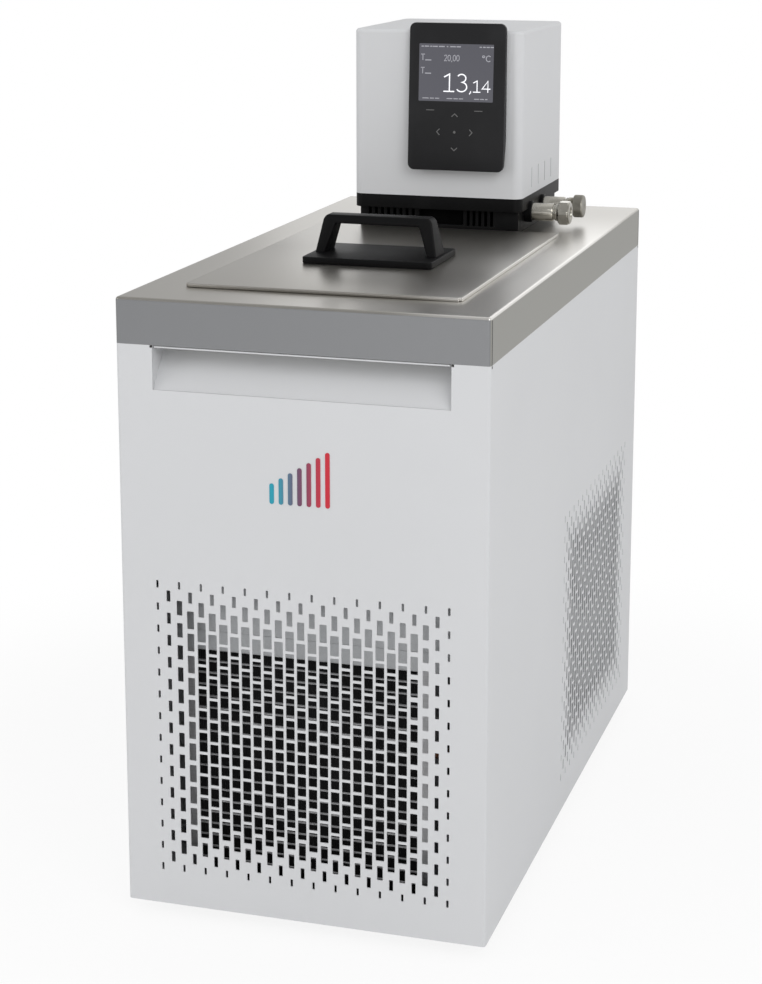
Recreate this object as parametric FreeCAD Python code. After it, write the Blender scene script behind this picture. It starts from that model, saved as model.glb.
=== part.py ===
import FreeCAD, Part
import math
import os

from FreeCAD import Vector

# Refrigerated bath circulator: a sheet metal housing with a graded slot grille, a stainless deck
# with a covered bath, and a head that holds the pump, the heater and the control panel.
# Millimetres, +Z up, front towards -Y. The shapes are made from the front face backwards (y = 0
# is the front face, z = 0 the bench) and moved at the end, so that the origin is the middle of
# the footprint.

# Housing
width = 294.0
depth = 584.0
foot_height = 12.0
foot_radius = 15.0
foot_inset = 36.0
housing_height = 490.0
apron_height = 36.0
sheet = 1.5
corner_radius = 2.5
fold = 3.0
return_flange = 12.0
tray_flange = 14.0
post_leg = 18.0

# Grip recess in the front
grip_margin = 29.5
grip_drop = 70.5
grip_depth = 28.5
relief = 2.0

# Graded grille: slots in staggered columns that shrink towards the border
column_pitch = 9.0
row_pitch = 18.0
grille_columns = 27
grille_rows = 14
first_row_drop = 224.5
slot_sizes = ((2.0, 6.1), (3.3, 9.0), (4.7, 11.8), (5.6, 14.2), (6.5, 15.6))

# Side grilles: the same staggered pattern, coarser
side_column_pitch = 27.0
side_row_pitch = 36.0
side_columns = 11
side_rows = 7
side_grille_rear_gap = 183.0
side_slot_sizes = ((4.0, 14.0), (7.0, 22.0), (9.0, 28.0))

# Bath
bath_side_gap = 47.0
bath_rear_gap = 39.0
bath_depth = 200.0
lid_front = 66.0
lid_overlap = 11.0
lid_rear_gap = 1.5
lid_height = 3.0
lid_notch = 10.0
tank_wall = 1.2
tank_radius = 15.0
tank_flange = 12.0
opening_setback = 17.0
opening_margin = 5.0
foam_floor = 30.0
foam_side = 26.0
foam_front = 38.0
foam_rear_gap = 16.0

# Lid handle
handle_width = 102.6
handle_setback = 97.0
handle_length = 87.0
handle_plate = 5.5
handle_rise = 35.6
handle_bar = 5.2
handle_foot = 9.7
handle_shoulder = 45.0
handle_crown = 37.5
handle_window_top = 37.0
handle_depth_foot = 28.0
handle_depth_top = 20.0
arch_setback = 44.0
arch_corner_drop = 4.5
screw_radius = 2.5
screw_length = 12.0

# Cooling compartment
condenser_front = 25.0
condenser_side_gap = 52.5
condenser_depth = 20.0
condenser_bottom = 24.0
condenser_top = 230.0
condenser_plate = 2.0
header_width = 8.0
flat_tubes = 17
flat_tube_height = 2.0
baffle_front = 21.0
baffle_side_gap = 22.0
shelf_flange = 12.0
shroud_front = 62.0
shroud_hole = 84.0
fan_radius = 80.0
fan_hub = 22.0
fan_hub_length = 24.0
fan_set_in = 8.0
fan_blades = 5
fan_blade_pitch = 32.0
blade_root_width = 40.0
blade_full_width = 54.0
blade_end_width = 36.0
blade_taper = 4.5
blade_clearance = 1.5
blade_thickness = 2.0
blade_sink = 3.0
fan_shaft = 4.0
fan_motor_radius = 34.0
fan_motor_front = 92.0
fan_motor_length = 55.0
bracket_width = 50.0
bracket_foot = 32.0
bracket_sheet = 2.0
running_gap = 0.05
compressor_x = 10.0
compressor_y = 290.0
compressor_radius = 60.0
compressor_height = 165.0
compressor_foot = 75.0
terminal_reach = 22.0
terminal_width = 48.0
terminal_rise = 50.0
terminal_height = 55.0
mount_height = 14.0
line_radius = 4.0
drier_radius = 12.0
drier_length = 90.0
drier_y = 200.0
line_z = 50.0
line_side_gap = 35.0
discharge_z = 150.0
riser_gap = 7.0
evaporator_turns = 2
evaporator_radius = 4.0
evaporator_side_gap = 20.0
evaporator_setback = 31.0
evaporator_rear_gap = 23.0
evaporator_return = 22.0
evaporator_rise = 34.5
evaporator_pitch = 16.0
riser_side_gap = 30.0
riser_drop = 46.0
riser_bend = 7.0
bend = 14.0
pass_gap = 0.3

# Drain and rear connections
rear_reach = 24.0
drain_side_gap = 40.0
drain_rear_gap = 25.0
drain_drop = 25.3
drain_radius = 6.0
drain_body_radius = 9.0
drain_body_length = 15.0
knob_offset = 9.0
knob_gap = 3.0
knob_radius = 8.0
knob_height = 9.0
inlet_side_gap = 55.0
inlet_rise = 80.0
inlet_width = 48.0
inlet_height = 28.0
socket_width = 24.5
socket_height = 17.0
socket_depth = 16.0
switch_offset = 48.0
switch_width = 22.0
switch_height = 28.0
switch_border = 3.0
switch_gap = 0.4
switch_tilt = 8.0
switch_pin_depth = 4.0
switch_pin_radius = 1.2
vent_slots = 9
vent_pitch = 14.0
vent_length = 90.0
vent_width = 5.0
vent_rise = 148.0
vent_offset = -35.0

# Head
head_width = 155.0
head_length = 162.0
head_rear_gap = 41.0
head_rise = 32.0
head_height = 148.0
head_wall = 2.5
head_corner = 8.0
head_top_edge = 3.0
bridge_flange = 10.3
bridge_inset = 4.0
bridge_front_inset = 6.5
bridge_wall = 3.0
head_hole_margin = 15.5
plate_thickness = 2.0
side_vents = 4
side_vent_pitch = 26.0
side_vent_rear = 43.0
side_vent_rise = 6.0
side_vent_width = 2.2
side_vent_height = 18.0
front_vent_width = 2.8
left_vents = 8
left_vent_start = -64.0
left_vent_pitch = 6.0
left_vent_height = 8.4
right_vents = 5
right_vent_start = 27.5
right_vent_pitch = 5.4
right_vent_rise = 5.5
front_vent_drop = 1.6
recess_left = -15.0
recess_right = 22.0
recess_rise = 6.0
recess_drop = 0.4
board_side_gap = 19.5
board_rise = 12.0
board_height = 100.0
board_thickness = 2.0
board_standoff = 10.0
board_post = 6.0
block_width = 40.0
block_reach = 22.0
block_offset = -30.0
block_rise = 10.0

# Control panel on the head's front
panel_width = 90.0
panel_x = 19.0
panel_height = 139.0
panel_bottom_rise = 14.0
panel_top_depth = 5.0
panel_bend_depth = 11.0
panel_bend_rise = 26.0
panel_corner = 5.0
screen_width = 67.5
screen_height = 52.0
screen_x = 17.0
screen_drop = 18.5
screen_thickness = 1.5
panel_rim = 8.0
cavity_depth = 3.0
cavity_rise = 20.0
cavity_drop = 12.0
control_board_width = 64.0
control_board_rise = 30.0
control_board_height = 80.0
control_board_thickness = 1.6

# Pump, heater and probes
pump_setback = 83.0
motor_radius = 32.0
motor_height = 74.0
motor_flange = 88.0
motor_flange_height = 4.0
shaft_radius = 4.0
column_radius = 11.0
column_bore = 8.0
pump_rise = 49.5
volute_radius = 28.0
volute_height = 26.0
volute_wall = 3.0
volute_eye = 9.0
vanes = 6
vane_thickness = 1.6
vane_height = 7.0
impeller_radius = 22.0
pipe_radius = 6.0
pipe_x = 45.0
connector_rise = 16.0
return_reach = 60.0
return_setback = 37.0
connector_radius = 6.8
collar_radius = 10.0
connector_length = 22.5
nut_length = 18.0
nut_flat = 10.0
heater_x = -40.0
heater_setback = 49.0
heater_radius = 4.2
heater_bend = 12.0
heater_rise = 29.5
probe_x = -22.0
probe_setback = 127.0
probe_radius = 3.0
probe_rise = 69.5
float_x = -50.0
float_setback = 124.0
float_rod_radius = 3.0
float_stop = 4.0
rod_collar = 3.0
rod_top = 6.0
float_radius = 13.0
float_height = 18.0
float_rise = 103.5

# Places that follow from the sizes
half = width / 2
base_z = foot_height
deck_z = base_z + housing_height
panel_top = deck_z - apron_height
deck_under = deck_z - sheet
inner = half - sheet
tray_top = base_z + sheet
grip_width = width - 2 * grip_margin
side_grille_middle = depth - side_grille_rear_gap
head_front = depth - head_rear_gap - head_length
bath_width = width - 2 * bath_side_gap
bath_rear = depth - bath_rear_gap
bath_floor = deck_under - bath_depth
foam_rear = depth - foam_rear_gap
foam_bottom = bath_floor - tank_wall - foam_floor
lid_width = bath_width + 2 * lid_overlap
lid_length = head_front + bridge_front_inset - lid_rear_gap - lid_front
opening_front = lid_front + opening_setback
opening_length = lid_length - 2 * opening_setback
bath_front = opening_front - 2 * tank_wall
handle_front = lid_front + handle_setback
handle_middle = handle_front + arch_setback
condenser_width = width - 2 * condenser_side_gap
baffle_width = width - 2 * baffle_side_gap
fan_z = (condenser_bottom + condenser_top) / 2
line_x = half - line_side_gap
riser_x = bath_width / 2 - riser_side_gap
riser_y = depth - sheet - riser_gap
riser_z = deck_z - riser_drop
evaporator_half = bath_width / 2 - evaporator_side_gap
evaporator_front = head_front + evaporator_setback
evaporator_rear = bath_rear - evaporator_rear_gap
evaporator_z = bath_floor + evaporator_rise
drain_x = bath_width / 2 - drain_side_gap
drain_y = bath_rear - drain_rear_gap
drain_z = foam_bottom - drain_drop
inlet_x = inlet_side_gap - half
inlet_z = base_z + inlet_rise
switch_x = inlet_x + switch_offset
vent_z = base_z + vent_rise
pump_y = head_front + pump_setback
pump_z = bath_floor + pump_rise
return_y = head_front + return_setback
heater_y = head_front + heater_setback
heater_z = bath_floor + heater_rise
probe_y = head_front + probe_setback
probe_z = bath_floor + probe_rise
float_y = head_front + float_setback
float_z = bath_floor + float_rise
origin_shift = Vector(0, -(depth + rear_reach) / 2, 0)


def box(x0, x1, y0, y1, z0, z1):
    """A block between two corners."""
    return Part.makeBox(x1 - x0, y1 - y0, z1 - z0, Vector(x0, y0, z0))


def rod(start, end, radius):
    """A round bar from one point to another."""
    start = Vector(*start)
    run = Vector(*end) - start
    return Part.makeCylinder(radius, run.Length, start, run)


def tube(start, end, outer, inner_radius):
    """A round bar with a bore along it."""
    return rod(start, end, outer).cut(rod(start, end, inner_radius))


def fuse(shapes):
    """One solid of several that touch."""
    return shapes[0].multiFuse(shapes[1:]).removeSplitter()


def group(shapes):
    """Separate solids kept together as one piece list."""
    return Part.makeCompound(shapes)


def cut_all(shape, tools):
    """The shape without any of the tools."""
    return shape.cut(Part.makeCompound(tools))


def prism(points, direction):
    """A flat outline pushed along a direction."""
    corners = [Vector(*point) for point in points]
    outline = Part.makePolygon(corners + corners[:1])
    return Part.Face(outline).extrude(Vector(*direction))


def turned(points, centre, axis=(0, 0, 1)):
    """A body of revolution from (radius, height) points, standing on a centre point."""
    corners = [Vector(radius, 0, height) for radius, height in points]
    outline = Part.makePolygon(corners + corners[:1])
    body = Part.Face(outline).revolve(Vector(0, 0, 0), Vector(0, 0, 1), 360)
    body.Placement = FreeCAD.Placement(Vector(*centre), FreeCAD.Rotation(Vector(0, 0, 1), Vector(*axis)))
    return body


def rounded(shape, radius, keep):
    """The shape with the edges rounded whose middle and direction pass the test."""
    edges = []
    for edge in shape.Edges:
        if len(edge.Vertexes) == 2:
            first, last = edge.Vertexes[0].Point, edge.Vertexes[1].Point
            if keep((first + last) * 0.5, last - first):
                edges.append(edge)
    return shape.makeFillet(radius, edges)


def upright(direction):
    """Whether an edge runs straight up."""
    return abs(direction.x) + abs(direction.y) < 1e-6


def bent_line(points, radius, bend_radius=bend):
    """A round line through points: straight runs joined by bends of one radius."""
    corners = [Vector(*point) for point in points]
    pieces = []
    start = corners[0]
    for before, corner, after in zip(corners, corners[1:], corners[2:]):
        back = (before - corner).normalize()
        onward = (after - corner).normalize()
        turn = math.pi - back.getAngle(onward)
        reach = bend_radius * math.tan(turn / 2)
        enter = corner + back * reach
        inward = (back + onward).normalize()
        centre = corner + inward * (bend_radius / math.cos(turn / 2))
        section = Part.Face(Part.Wire([Part.Circle(enter, back, radius).toShape()]))
        pieces.append(rod(start, enter, radius))
        pieces.append(section.revolve(centre, onward.cross(back), math.degrees(turn)))
        start = corner + onward * reach
    pieces.append(rod(start, corners[-1], radius))
    return fuse(pieces)


def mirrored(shape):
    """The same shape on the other side of the middle."""
    return shape.mirror(Vector(0, 0, 0), Vector(1, 0, 0))


def graded_slots(columns, rows, pitch_across, pitch_down, sizes):
    """Middle and size of each slot of a staggered pattern, smaller towards the border."""
    ranks = 2 * rows - 1
    slots = []
    for column in range(columns):
        for row in range(rows - column % 2):
            rank = 2 * row + column % 2
            ring = min(column, columns - 1 - column, rank, ranks - 1 - rank, len(sizes) - 1)
            across = (column - (columns - 1) / 2) * pitch_across
            down = rank * pitch_down / 2
            slots.append((across, down, sizes[ring]))
    return slots


grille_top = deck_z - first_row_drop
grille_height = (grille_rows - 1) * row_pitch
side_grille_top = grille_top - (grille_height - (side_rows - 1) * side_row_pitch) / 2


def feet():
    """Four rubber feet with a screw recess, under the corners of the tray."""
    shapes = []
    foot = [(foot_radius / 3, 0), (foot_radius - 2, 0), (foot_radius, foot_height), (0, foot_height),
            (0, foot_height / 2), (foot_radius / 3, foot_height / 2)]
    for x in (foot_inset - half, half - foot_inset):
        for y in (foot_inset, depth - foot_inset):
            shapes.append(turned(foot, (x, y, 0)))
    return group(shapes)


def base_tray():
    """Bottom tray with its edges folded up."""
    outer = box(-inner, inner, sheet, depth - sheet, base_z, tray_top + tray_flange)
    well = box(sheet - inner, inner - sheet, 2 * sheet, depth - 2 * sheet, tray_top, tray_top + tray_flange)
    return outer.cut(well)


def end_panel():
    """Flat end panel with folded side edges, without its holes."""
    sheet_metal = box(-half, half, 0, fold, base_z, panel_top)
    sheet_metal = rounded(sheet_metal, corner_radius, lambda p, d: upright(d) and p.y < sheet)
    return sheet_metal.cut(box(-inner, inner, sheet, fold, base_z, panel_top))


def grip_notch():
    """The opening of the grip recess, with corner reliefs."""
    bottom = deck_z - grip_drop
    notch = box(-grip_width / 2, grip_width / 2, 0, fold, bottom, panel_top)
    corners = [notch]
    for x in (-grip_width / 2, grip_width / 2):
        corners.append(box(x - relief, x + relief, 0, fold, panel_top - relief, panel_top))
    return corners


def front_panel():
    """Front panel with the graded slot grille and the notch of the grip recess."""
    tools = grip_notch()
    for across, down, (slot_width, slot_height) in graded_slots(
            grille_columns, grille_rows, column_pitch, row_pitch, slot_sizes):
        z = grille_top - down
        tools.append(box(across - slot_width / 2, across + slot_width / 2, 0, sheet,
                         z - slot_height / 2, z + slot_height / 2))
    return cut_all(end_panel(), tools)


def grip_pocket():
    """Folded insert behind the notch: a slope that the fingers reach over, and two cheeks."""
    low = deck_z - grip_drop
    outer_half = grip_width / 2
    rise = panel_top - low
    slope = [(0, sheet, low), (0, sheet + grip_depth, panel_top), (0, sheet + grip_depth + sheet, panel_top),
             (0, sheet + grip_depth + sheet, panel_top - 4), (0, 2 * sheet, low - 2), (0, sheet, low - 2)]
    wall = prism(slope, (2 * outer_half, 0, 0)).translated(Vector(-outer_half, 0, 0))
    cheek = [(0, sheet, low - 2), (0, sheet, low + rise), (0, sheet + grip_depth + sheet, low + rise),
             (0, sheet + grip_depth + sheet, low + rise - 4), (0, 2 * sheet, low - 2)]
    right = prism(cheek, (sheet, 0, 0)).translated(Vector(outer_half, 0, 0))
    return fuse([wall, right, mirrored(right)])


def side_panel():
    """Right side panel with its ventilation slots."""
    panel = box(inner, half, fold, depth - fold, base_z, panel_top)
    tools = []
    for across, down, (slot_width, slot_height) in graded_slots(
            side_columns, side_rows, side_column_pitch, side_row_pitch, side_slot_sizes):
        y = side_grille_middle + across
        z = side_grille_top - down
        tools.append(box(inner, half, y - slot_width / 2, y + slot_width / 2,
                         z - slot_height / 2, z + slot_height / 2))
    return cut_all(panel, tools)


def rear_panel():
    """Rear panel with vents and the cut-outs for the drain, the inlet and the switch."""
    panel = end_panel().mirror(Vector(0, depth / 2, 0), Vector(0, 1, 0))
    rear = depth - sheet
    tools = [rod((drain_x, rear - 1, drain_z), (drain_x, depth + 1, drain_z), drain_radius + pass_gap)]
    tools.append(box(inlet_x - socket_width / 2 - sheet, inlet_x + socket_width / 2 + sheet, rear, depth,
                     inlet_z - socket_height / 2 - sheet, inlet_z + socket_height / 2 + sheet))
    tools.append(box(switch_x - switch_width / 2, switch_x + switch_width / 2, rear, depth,
                     inlet_z - switch_height / 2, inlet_z + switch_height / 2))
    for number in range(vent_slots):
        x = (number - (vent_slots - 1) / 2) * vent_pitch + vent_offset
        tools.append(box(x - vent_width / 2, x + vent_width / 2, rear, depth, vent_z, vent_z + vent_length))
    return cut_all(panel, tools)


def corner_posts():
    """Angle posts from the tray's edge to the deck's return flange."""
    low = tray_top + tray_flange
    leg = prism([(inner, sheet, low), (inner - post_leg, sheet, low), (inner - post_leg, 2 * sheet, low),
                 (inner - sheet, 2 * sheet, low), (inner - sheet, sheet + post_leg, low),
                 (inner, sheet + post_leg, low)], (0, 0, panel_top - low))
    rear_leg = leg.mirror(Vector(0, depth / 2, 0), Vector(0, 1, 0))
    return group([leg, mirrored(leg), rear_leg, mirrored(rear_leg)])


def deck():
    """Stainless deck: a folded pan upside down, open over the bath and under the head."""
    pan = box(-half, half, 0, depth, panel_top, deck_z)
    pan = rounded(pan, corner_radius, lambda p, d: upright(d) or p.z > deck_z - 1)
    front_return = sheet + grip_depth + sheet + sheet
    hollow = box(-inner, inner, sheet, depth - sheet, panel_top + sheet, deck_under)
    throat = box(return_flange - half, half - return_flange, front_return, depth - return_flange,
                 panel_top, deck_under)
    half_opening = bath_width / 2 - opening_margin
    bath = box(-half_opening, half_opening, opening_front, opening_front + opening_length, deck_under, deck_z)
    hole_half = head_width / 2 - head_hole_margin
    head = box(-hole_half, hole_half, head_front + head_hole_margin, head_front + head_length - head_hole_margin,
               deck_under, deck_z)
    return cut_all(pan, [fuse([hollow, throat]), bath, head])


def bath_tank():
    """Stainless tank with rounded corners and a flange under the deck."""
    side = bath_width / 2
    floor = bath_floor
    shell = box(-side - tank_wall, side + tank_wall, bath_front - tank_wall, bath_rear + tank_wall,
                floor - tank_wall, deck_under)
    shell = rounded(shell, tank_radius + tank_wall, lambda p, d: upright(d))
    flange = box(-side - tank_flange, side + tank_flange, bath_front - tank_flange, bath_rear + tank_flange,
                 deck_under - tank_wall, deck_under)
    well = box(-side, side, bath_front, bath_rear, floor, deck_under)
    well = rounded(well, tank_radius, lambda p, d: upright(d))
    tools = [well, rod((drain_x, drain_y, floor - 2 * tank_wall), (drain_x, drain_y, floor + 1), drain_radius)]
    for x in (-riser_x, riser_x):
        tools.append(rod((x, bath_rear - 1, riser_z), (x, bath_rear + 2 * tank_wall, riser_z),
                         evaporator_radius + pass_gap))
    return cut_all(fuse([shell, flange]), tools)


def tank_insulation():
    """Foam block around the tank, with ducts for the drain and the cooling lines."""
    side = bath_width / 2
    floor = bath_floor - tank_wall
    block = box(-side - foam_side, side + foam_side, foam_front, foam_rear, foam_bottom, deck_under - tank_wall)
    gap = tank_wall + pass_gap
    well = box(-side - gap, side + gap, bath_front - gap, bath_rear + gap, floor, deck_under)
    well = rounded(well, tank_radius + gap, lambda p, d: upright(d))
    tools = [well, rod((drain_x, drain_y, foam_bottom - 1), (drain_x, drain_y, floor + 1),
                       drain_radius + pass_gap)]
    for x in (-riser_x, riser_x):
        tools.append(rod((x, bath_rear, riser_z), (x, foam_rear + 1, riser_z), evaporator_radius + pass_gap))
    return cut_all(block, tools)


def tank_shelf():
    """Shelf under the foam, with folded side edges."""
    side = inner - sheet
    front = baffle_front + sheet
    rear = depth - 2 * sheet
    floor = foam_bottom
    plate = box(-side, side, front, rear, floor - sheet, floor)
    edge = box(side - sheet, side, front, rear, floor - sheet - shelf_flange, floor - sheet)
    shelf = fuse([plate, edge, mirrored(edge)])
    tools = [rod((drain_x, drain_y, floor - 2 * sheet), (drain_x, drain_y, floor + 1), drain_radius + pass_gap)]
    for x in (-line_x, riser_x):
        tools.append(box(x - line_radius - 1, x + line_radius + 1, foam_rear + 1, rear, floor - sheet, floor))
    return cut_all(shelf, tools)


def air_baffle():
    """Sheet that closes the grille above the condenser."""
    low = condenser_top + condenser_plate
    top = bath_floor - tank_wall
    wall = box(-baffle_width / 2, baffle_width / 2, baffle_front, baffle_front + sheet, low, top)
    foot = box(-condenser_width / 2, condenser_width / 2, baffle_front, condenser_front + condenser_depth / 2,
               low, low + sheet)
    return fuse([wall, foot])


def lid():
    """Folded lid that lies over the bath opening."""
    side = lid_width / 2
    rear = lid_front + lid_length
    top = deck_z + lid_height
    pan = box(-side, side, lid_front, rear, deck_z, top)
    pan = rounded(pan, 1.0, lambda p, d: p.z > top - 1 and not upright(d))
    hollow = box(sheet - side, side - sheet, lid_front + sheet, rear - sheet, deck_z, top - sheet)
    tools = [hollow.cut(box(side - lid_notch - sheet, side, lid_front, lid_front + lid_notch + sheet, deck_z, top))]
    tools.append(box(side - lid_notch, side, lid_front, lid_front + lid_notch, deck_z, top))
    for x in screw_places():
        tools.append(rod((x, handle_middle, deck_z), (x, handle_middle, top + 1), screw_radius + pass_gap))
    return cut_all(pan, tools)


def screw_places():
    """Where the two handle screws stand across the lid, under the feet of the arch."""
    reach = handle_width / 2 - handle_foot
    return (-reach, reach)


def lid_handle():
    """Moulded handle: a flat plate with an arch whose posts lean in and thin out towards the top."""
    low = deck_z + lid_height
    plate_top = low + handle_plate
    top = low + handle_rise
    side = handle_width / 2
    plate = box(-side, side, handle_front, handle_front + handle_length, low, plate_top)
    plate = rounded(plate, 4.0, lambda p, d: upright(d))
    shoulder_z = top - arch_corner_drop
    outline = [(-side, 0, plate_top), (-handle_shoulder, 0, shoulder_z), (-handle_crown, 0, top),
               (handle_crown, 0, top), (handle_shoulder, 0, shoulder_z), (side, 0, plate_top),
               (side - handle_foot, 0, plate_top), (handle_window_top, 0, top - handle_bar),
               (-handle_window_top, 0, top - handle_bar), (handle_foot - side, 0, plate_top)]
    arch = prism(outline, (0, handle_depth_foot, 0))
    arch = arch.translated(Vector(0, handle_middle - handle_depth_foot / 2, 0))
    taper = prism([(-side, handle_middle - handle_depth_foot / 2, plate_top),
                   (-side, handle_middle - handle_depth_top / 2, top),
                   (-side, handle_middle + handle_depth_top / 2, top),
                   (-side, handle_middle + handle_depth_foot / 2, plate_top)], (2 * side, 0, 0))
    tools = []
    for x in screw_places():
        tools.append(rod((x, handle_middle, low - 1), (x, handle_middle, low - sheet + screw_length), screw_radius))
    return cut_all(fuse([plate, arch.common(taper)]), tools)


def handle_screws():
    """Two screws up through the lid into the handle."""
    shapes = []
    under = deck_z + lid_height - sheet
    for x in screw_places():
        shapes.append(rod((x, handle_middle, under), (x, handle_middle, under + screw_length), screw_radius))
    return group(shapes)


def condenser_stack(first, height, count, pitch):
    """A stack of flat blocks between the two headers."""
    side = condenser_width / 2 - header_width
    blocks = []
    for number in range(count):
        z = first + number * pitch
        blocks.append(box(-side, side, condenser_front, condenser_front + condenser_depth, z, z + height))
    return group(blocks)


condenser_pitch = (condenser_top - condenser_bottom - flat_tube_height) / (flat_tubes + 1)
fin_height = condenser_pitch - flat_tube_height


def condenser_tubes():
    """Flat tubes that carry the refrigerant across."""
    return condenser_stack(condenser_bottom + condenser_pitch, flat_tube_height, flat_tubes, condenser_pitch)


def condenser_fins():
    """Fin strips between the flat tubes."""
    first = condenser_bottom + flat_tube_height
    return condenser_stack(first, fin_height, flat_tubes + 1, condenser_pitch)


def condenser_headers():
    """Upright headers at both ends, with a connection stub each."""
    outer = condenser_width / 2
    rear = condenser_front + condenser_depth
    header = box(outer - header_width, outer, condenser_front, rear, condenser_bottom, condenser_top)
    header = rounded(header, 3.0, lambda p, d: upright(d) and p.x > outer - 1)
    return group([header, mirrored(header)])


def condenser_frame():
    """Plates over and under the stack and the feet that carry it."""
    side = condenser_width / 2
    rear = condenser_front + condenser_depth
    inner_side = side - header_width
    top = box(-side, side, condenser_front, rear, condenser_top, condenser_top + condenser_plate)
    low = box(-inner_side, inner_side, condenser_front, rear, condenser_bottom, condenser_bottom + flat_tube_height)
    foot = box(side - header_width, side, condenser_front, rear, tray_top, condenser_bottom)
    return group([top, low, foot, mirrored(foot)])


def fan_shroud():
    """Shroud behind the condenser with the fan's round opening."""
    side = condenser_width / 2
    rear = condenser_front + condenser_depth
    top = condenser_top + condenser_plate
    shell = box(-side, side, rear, shroud_front + sheet, tray_top, top)
    hollow = box(sheet - side, side - sheet, rear, shroud_front, tray_top + sheet, top - sheet)
    mouth = rod((0, shroud_front - 1, fan_z), (0, shroud_front + 2 * sheet, fan_z), shroud_hole)
    return cut_all(shell, [hollow, mouth])


def fan_rotor():
    """Axial fan: five pitched blades on a hub, with its shaft."""
    front = shroud_front - fan_set_in
    rear = front + fan_hub_length
    hub = rod((0, front, fan_z), (0, rear, fan_z), fan_hub)
    pieces = [hub, rod((0, rear, fan_z), (0, fan_motor_front + 20, fan_z), fan_shaft)]
    root = fan_hub - blade_sink
    tip = fan_radius - blade_clearance
    face = -blade_thickness / 2
    blade = prism([(-blade_root_width / 2, face, root), (blade_root_width / 2, face, root),
                   (blade_full_width / 2, face, tip - blade_taper), (blade_end_width / 2, face, tip),
                   (-blade_end_width / 2, face, tip), (-blade_full_width / 2, face, tip - blade_taper)],
                  (0, blade_thickness, 0))
    blade.rotate(Vector(0, 0, 0), Vector(0, 0, 1), fan_blade_pitch)
    for number in range(fan_blades):
        turn = blade.copy()
        turn.rotate(Vector(0, 0, 0), Vector(0, 1, 0), number * 360 / fan_blades)
        pieces.append(turn.translated(Vector(0, (front + rear) / 2, fan_z)))
    return fuse(pieces)


def fan_motor():
    """Fan motor with a bearing bore for the shaft."""
    rear = fan_motor_front + fan_motor_length
    body = rod((0, fan_motor_front, fan_z), (0, rear, fan_z), fan_motor_radius)
    nose = rod((0, fan_motor_front - 4, fan_z), (0, fan_motor_front, fan_z), 12.0)
    bore = rod((0, fan_motor_front - 5, fan_z), (0, fan_motor_front + 20.5, fan_z), fan_shaft + running_gap)
    return fuse([body, nose]).cut(bore)


def fan_bracket():
    """Bent bracket that carries the fan motor on the tray."""
    rear = fan_motor_front + fan_motor_length
    side = bracket_width / 2
    wall = box(-side, side, rear, rear + bracket_sheet, tray_top, fan_z + fan_motor_radius / 2)
    foot = box(-side, side, rear, rear + bracket_foot, tray_top, tray_top + bracket_sheet)
    return fuse([wall, foot])


def compressor():
    """Hermetic compressor: a welded shell on a foot plate."""
    low = tray_top + mount_height
    r = compressor_radius
    shell = turned([(0, 3), (r - 10, 3), (r, 16), (r, compressor_height - 34), (r - 16, compressor_height - 8),
                    (r - 36, compressor_height), (0, compressor_height)], (compressor_x, compressor_y, low))
    foot = box(compressor_x - compressor_foot, compressor_x + compressor_foot, compressor_y - compressor_foot,
               compressor_y + compressor_foot, low, low + 3)
    foot = rounded(foot, 12.0, lambda p, d: upright(d))
    return fuse([shell, foot])


def compressor_mounts():
    """Rubber mounts under the corners of the foot plate."""
    reach = compressor_foot - 14
    shapes = []
    for x in (compressor_x - reach, compressor_x + reach):
        for y in (compressor_y - reach, compressor_y + reach):
            shapes.append(rod((x, y, tray_top), (x, y, tray_top + mount_height), 10.0))
    return group(shapes)


def terminal_cover():
    """Cover over the compressor's terminals."""
    low = tray_top + mount_height
    block = box(compressor_x - compressor_radius - terminal_reach, compressor_x,
                compressor_y - terminal_width / 2, compressor_y + terminal_width / 2,
                low + terminal_rise, low + terminal_rise + terminal_height)
    shell = rod((compressor_x, compressor_y, low), (compressor_x, compressor_y, low + compressor_height),
                compressor_radius)
    return block.cut(shell)


def filter_drier():
    """Filter drier in the liquid line."""
    r = drier_radius
    stub = line_radius
    profile = [(0, 0), (stub + 1, 0), (r, 10), (r, drier_length - 10), (stub + 1, drier_length), (0, drier_length)]
    return turned(profile, (-line_x, drier_y, line_z), (0, 1, 0))


def discharge_line():
    """Line from the compressor to the condenser."""
    y = condenser_front + condenser_depth / 2
    start = compressor_x + compressor_radius
    return bent_line([(start, compressor_y, discharge_z), (line_x, compressor_y, discharge_z),
                      (line_x, y, discharge_z), (condenser_width / 2, y, discharge_z)], line_radius)


def liquid_line():
    """Line from the condenser to the filter drier."""
    y = condenser_front + condenser_depth / 2
    return bent_line([(-condenser_width / 2, y, line_z), (-line_x, y, line_z), (-line_x, drier_y, line_z)],
                     line_radius)


def feed_line():
    """Line from the filter drier up behind the foam to the evaporator."""
    return bent_line([(-line_x, drier_y + drier_length, line_z), (-line_x, riser_y, line_z),
                      (-line_x, riser_y, riser_z), (-riser_x, riser_y, riser_z), (-riser_x, bath_rear - 5, riser_z)],
                     line_radius, riser_bend)


def suction_line():
    """Line from the evaporator down behind the foam to the compressor."""
    low = tray_top + mount_height + 30
    rear = compressor_y + compressor_radius
    return bent_line([(riser_x, bath_rear - 5, riser_z), (riser_x, riser_y, riser_z), (riser_x, riser_y, low),
                      (compressor_x, riser_y - 60, low), (compressor_x, rear, low)], line_radius, riser_bend)


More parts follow.
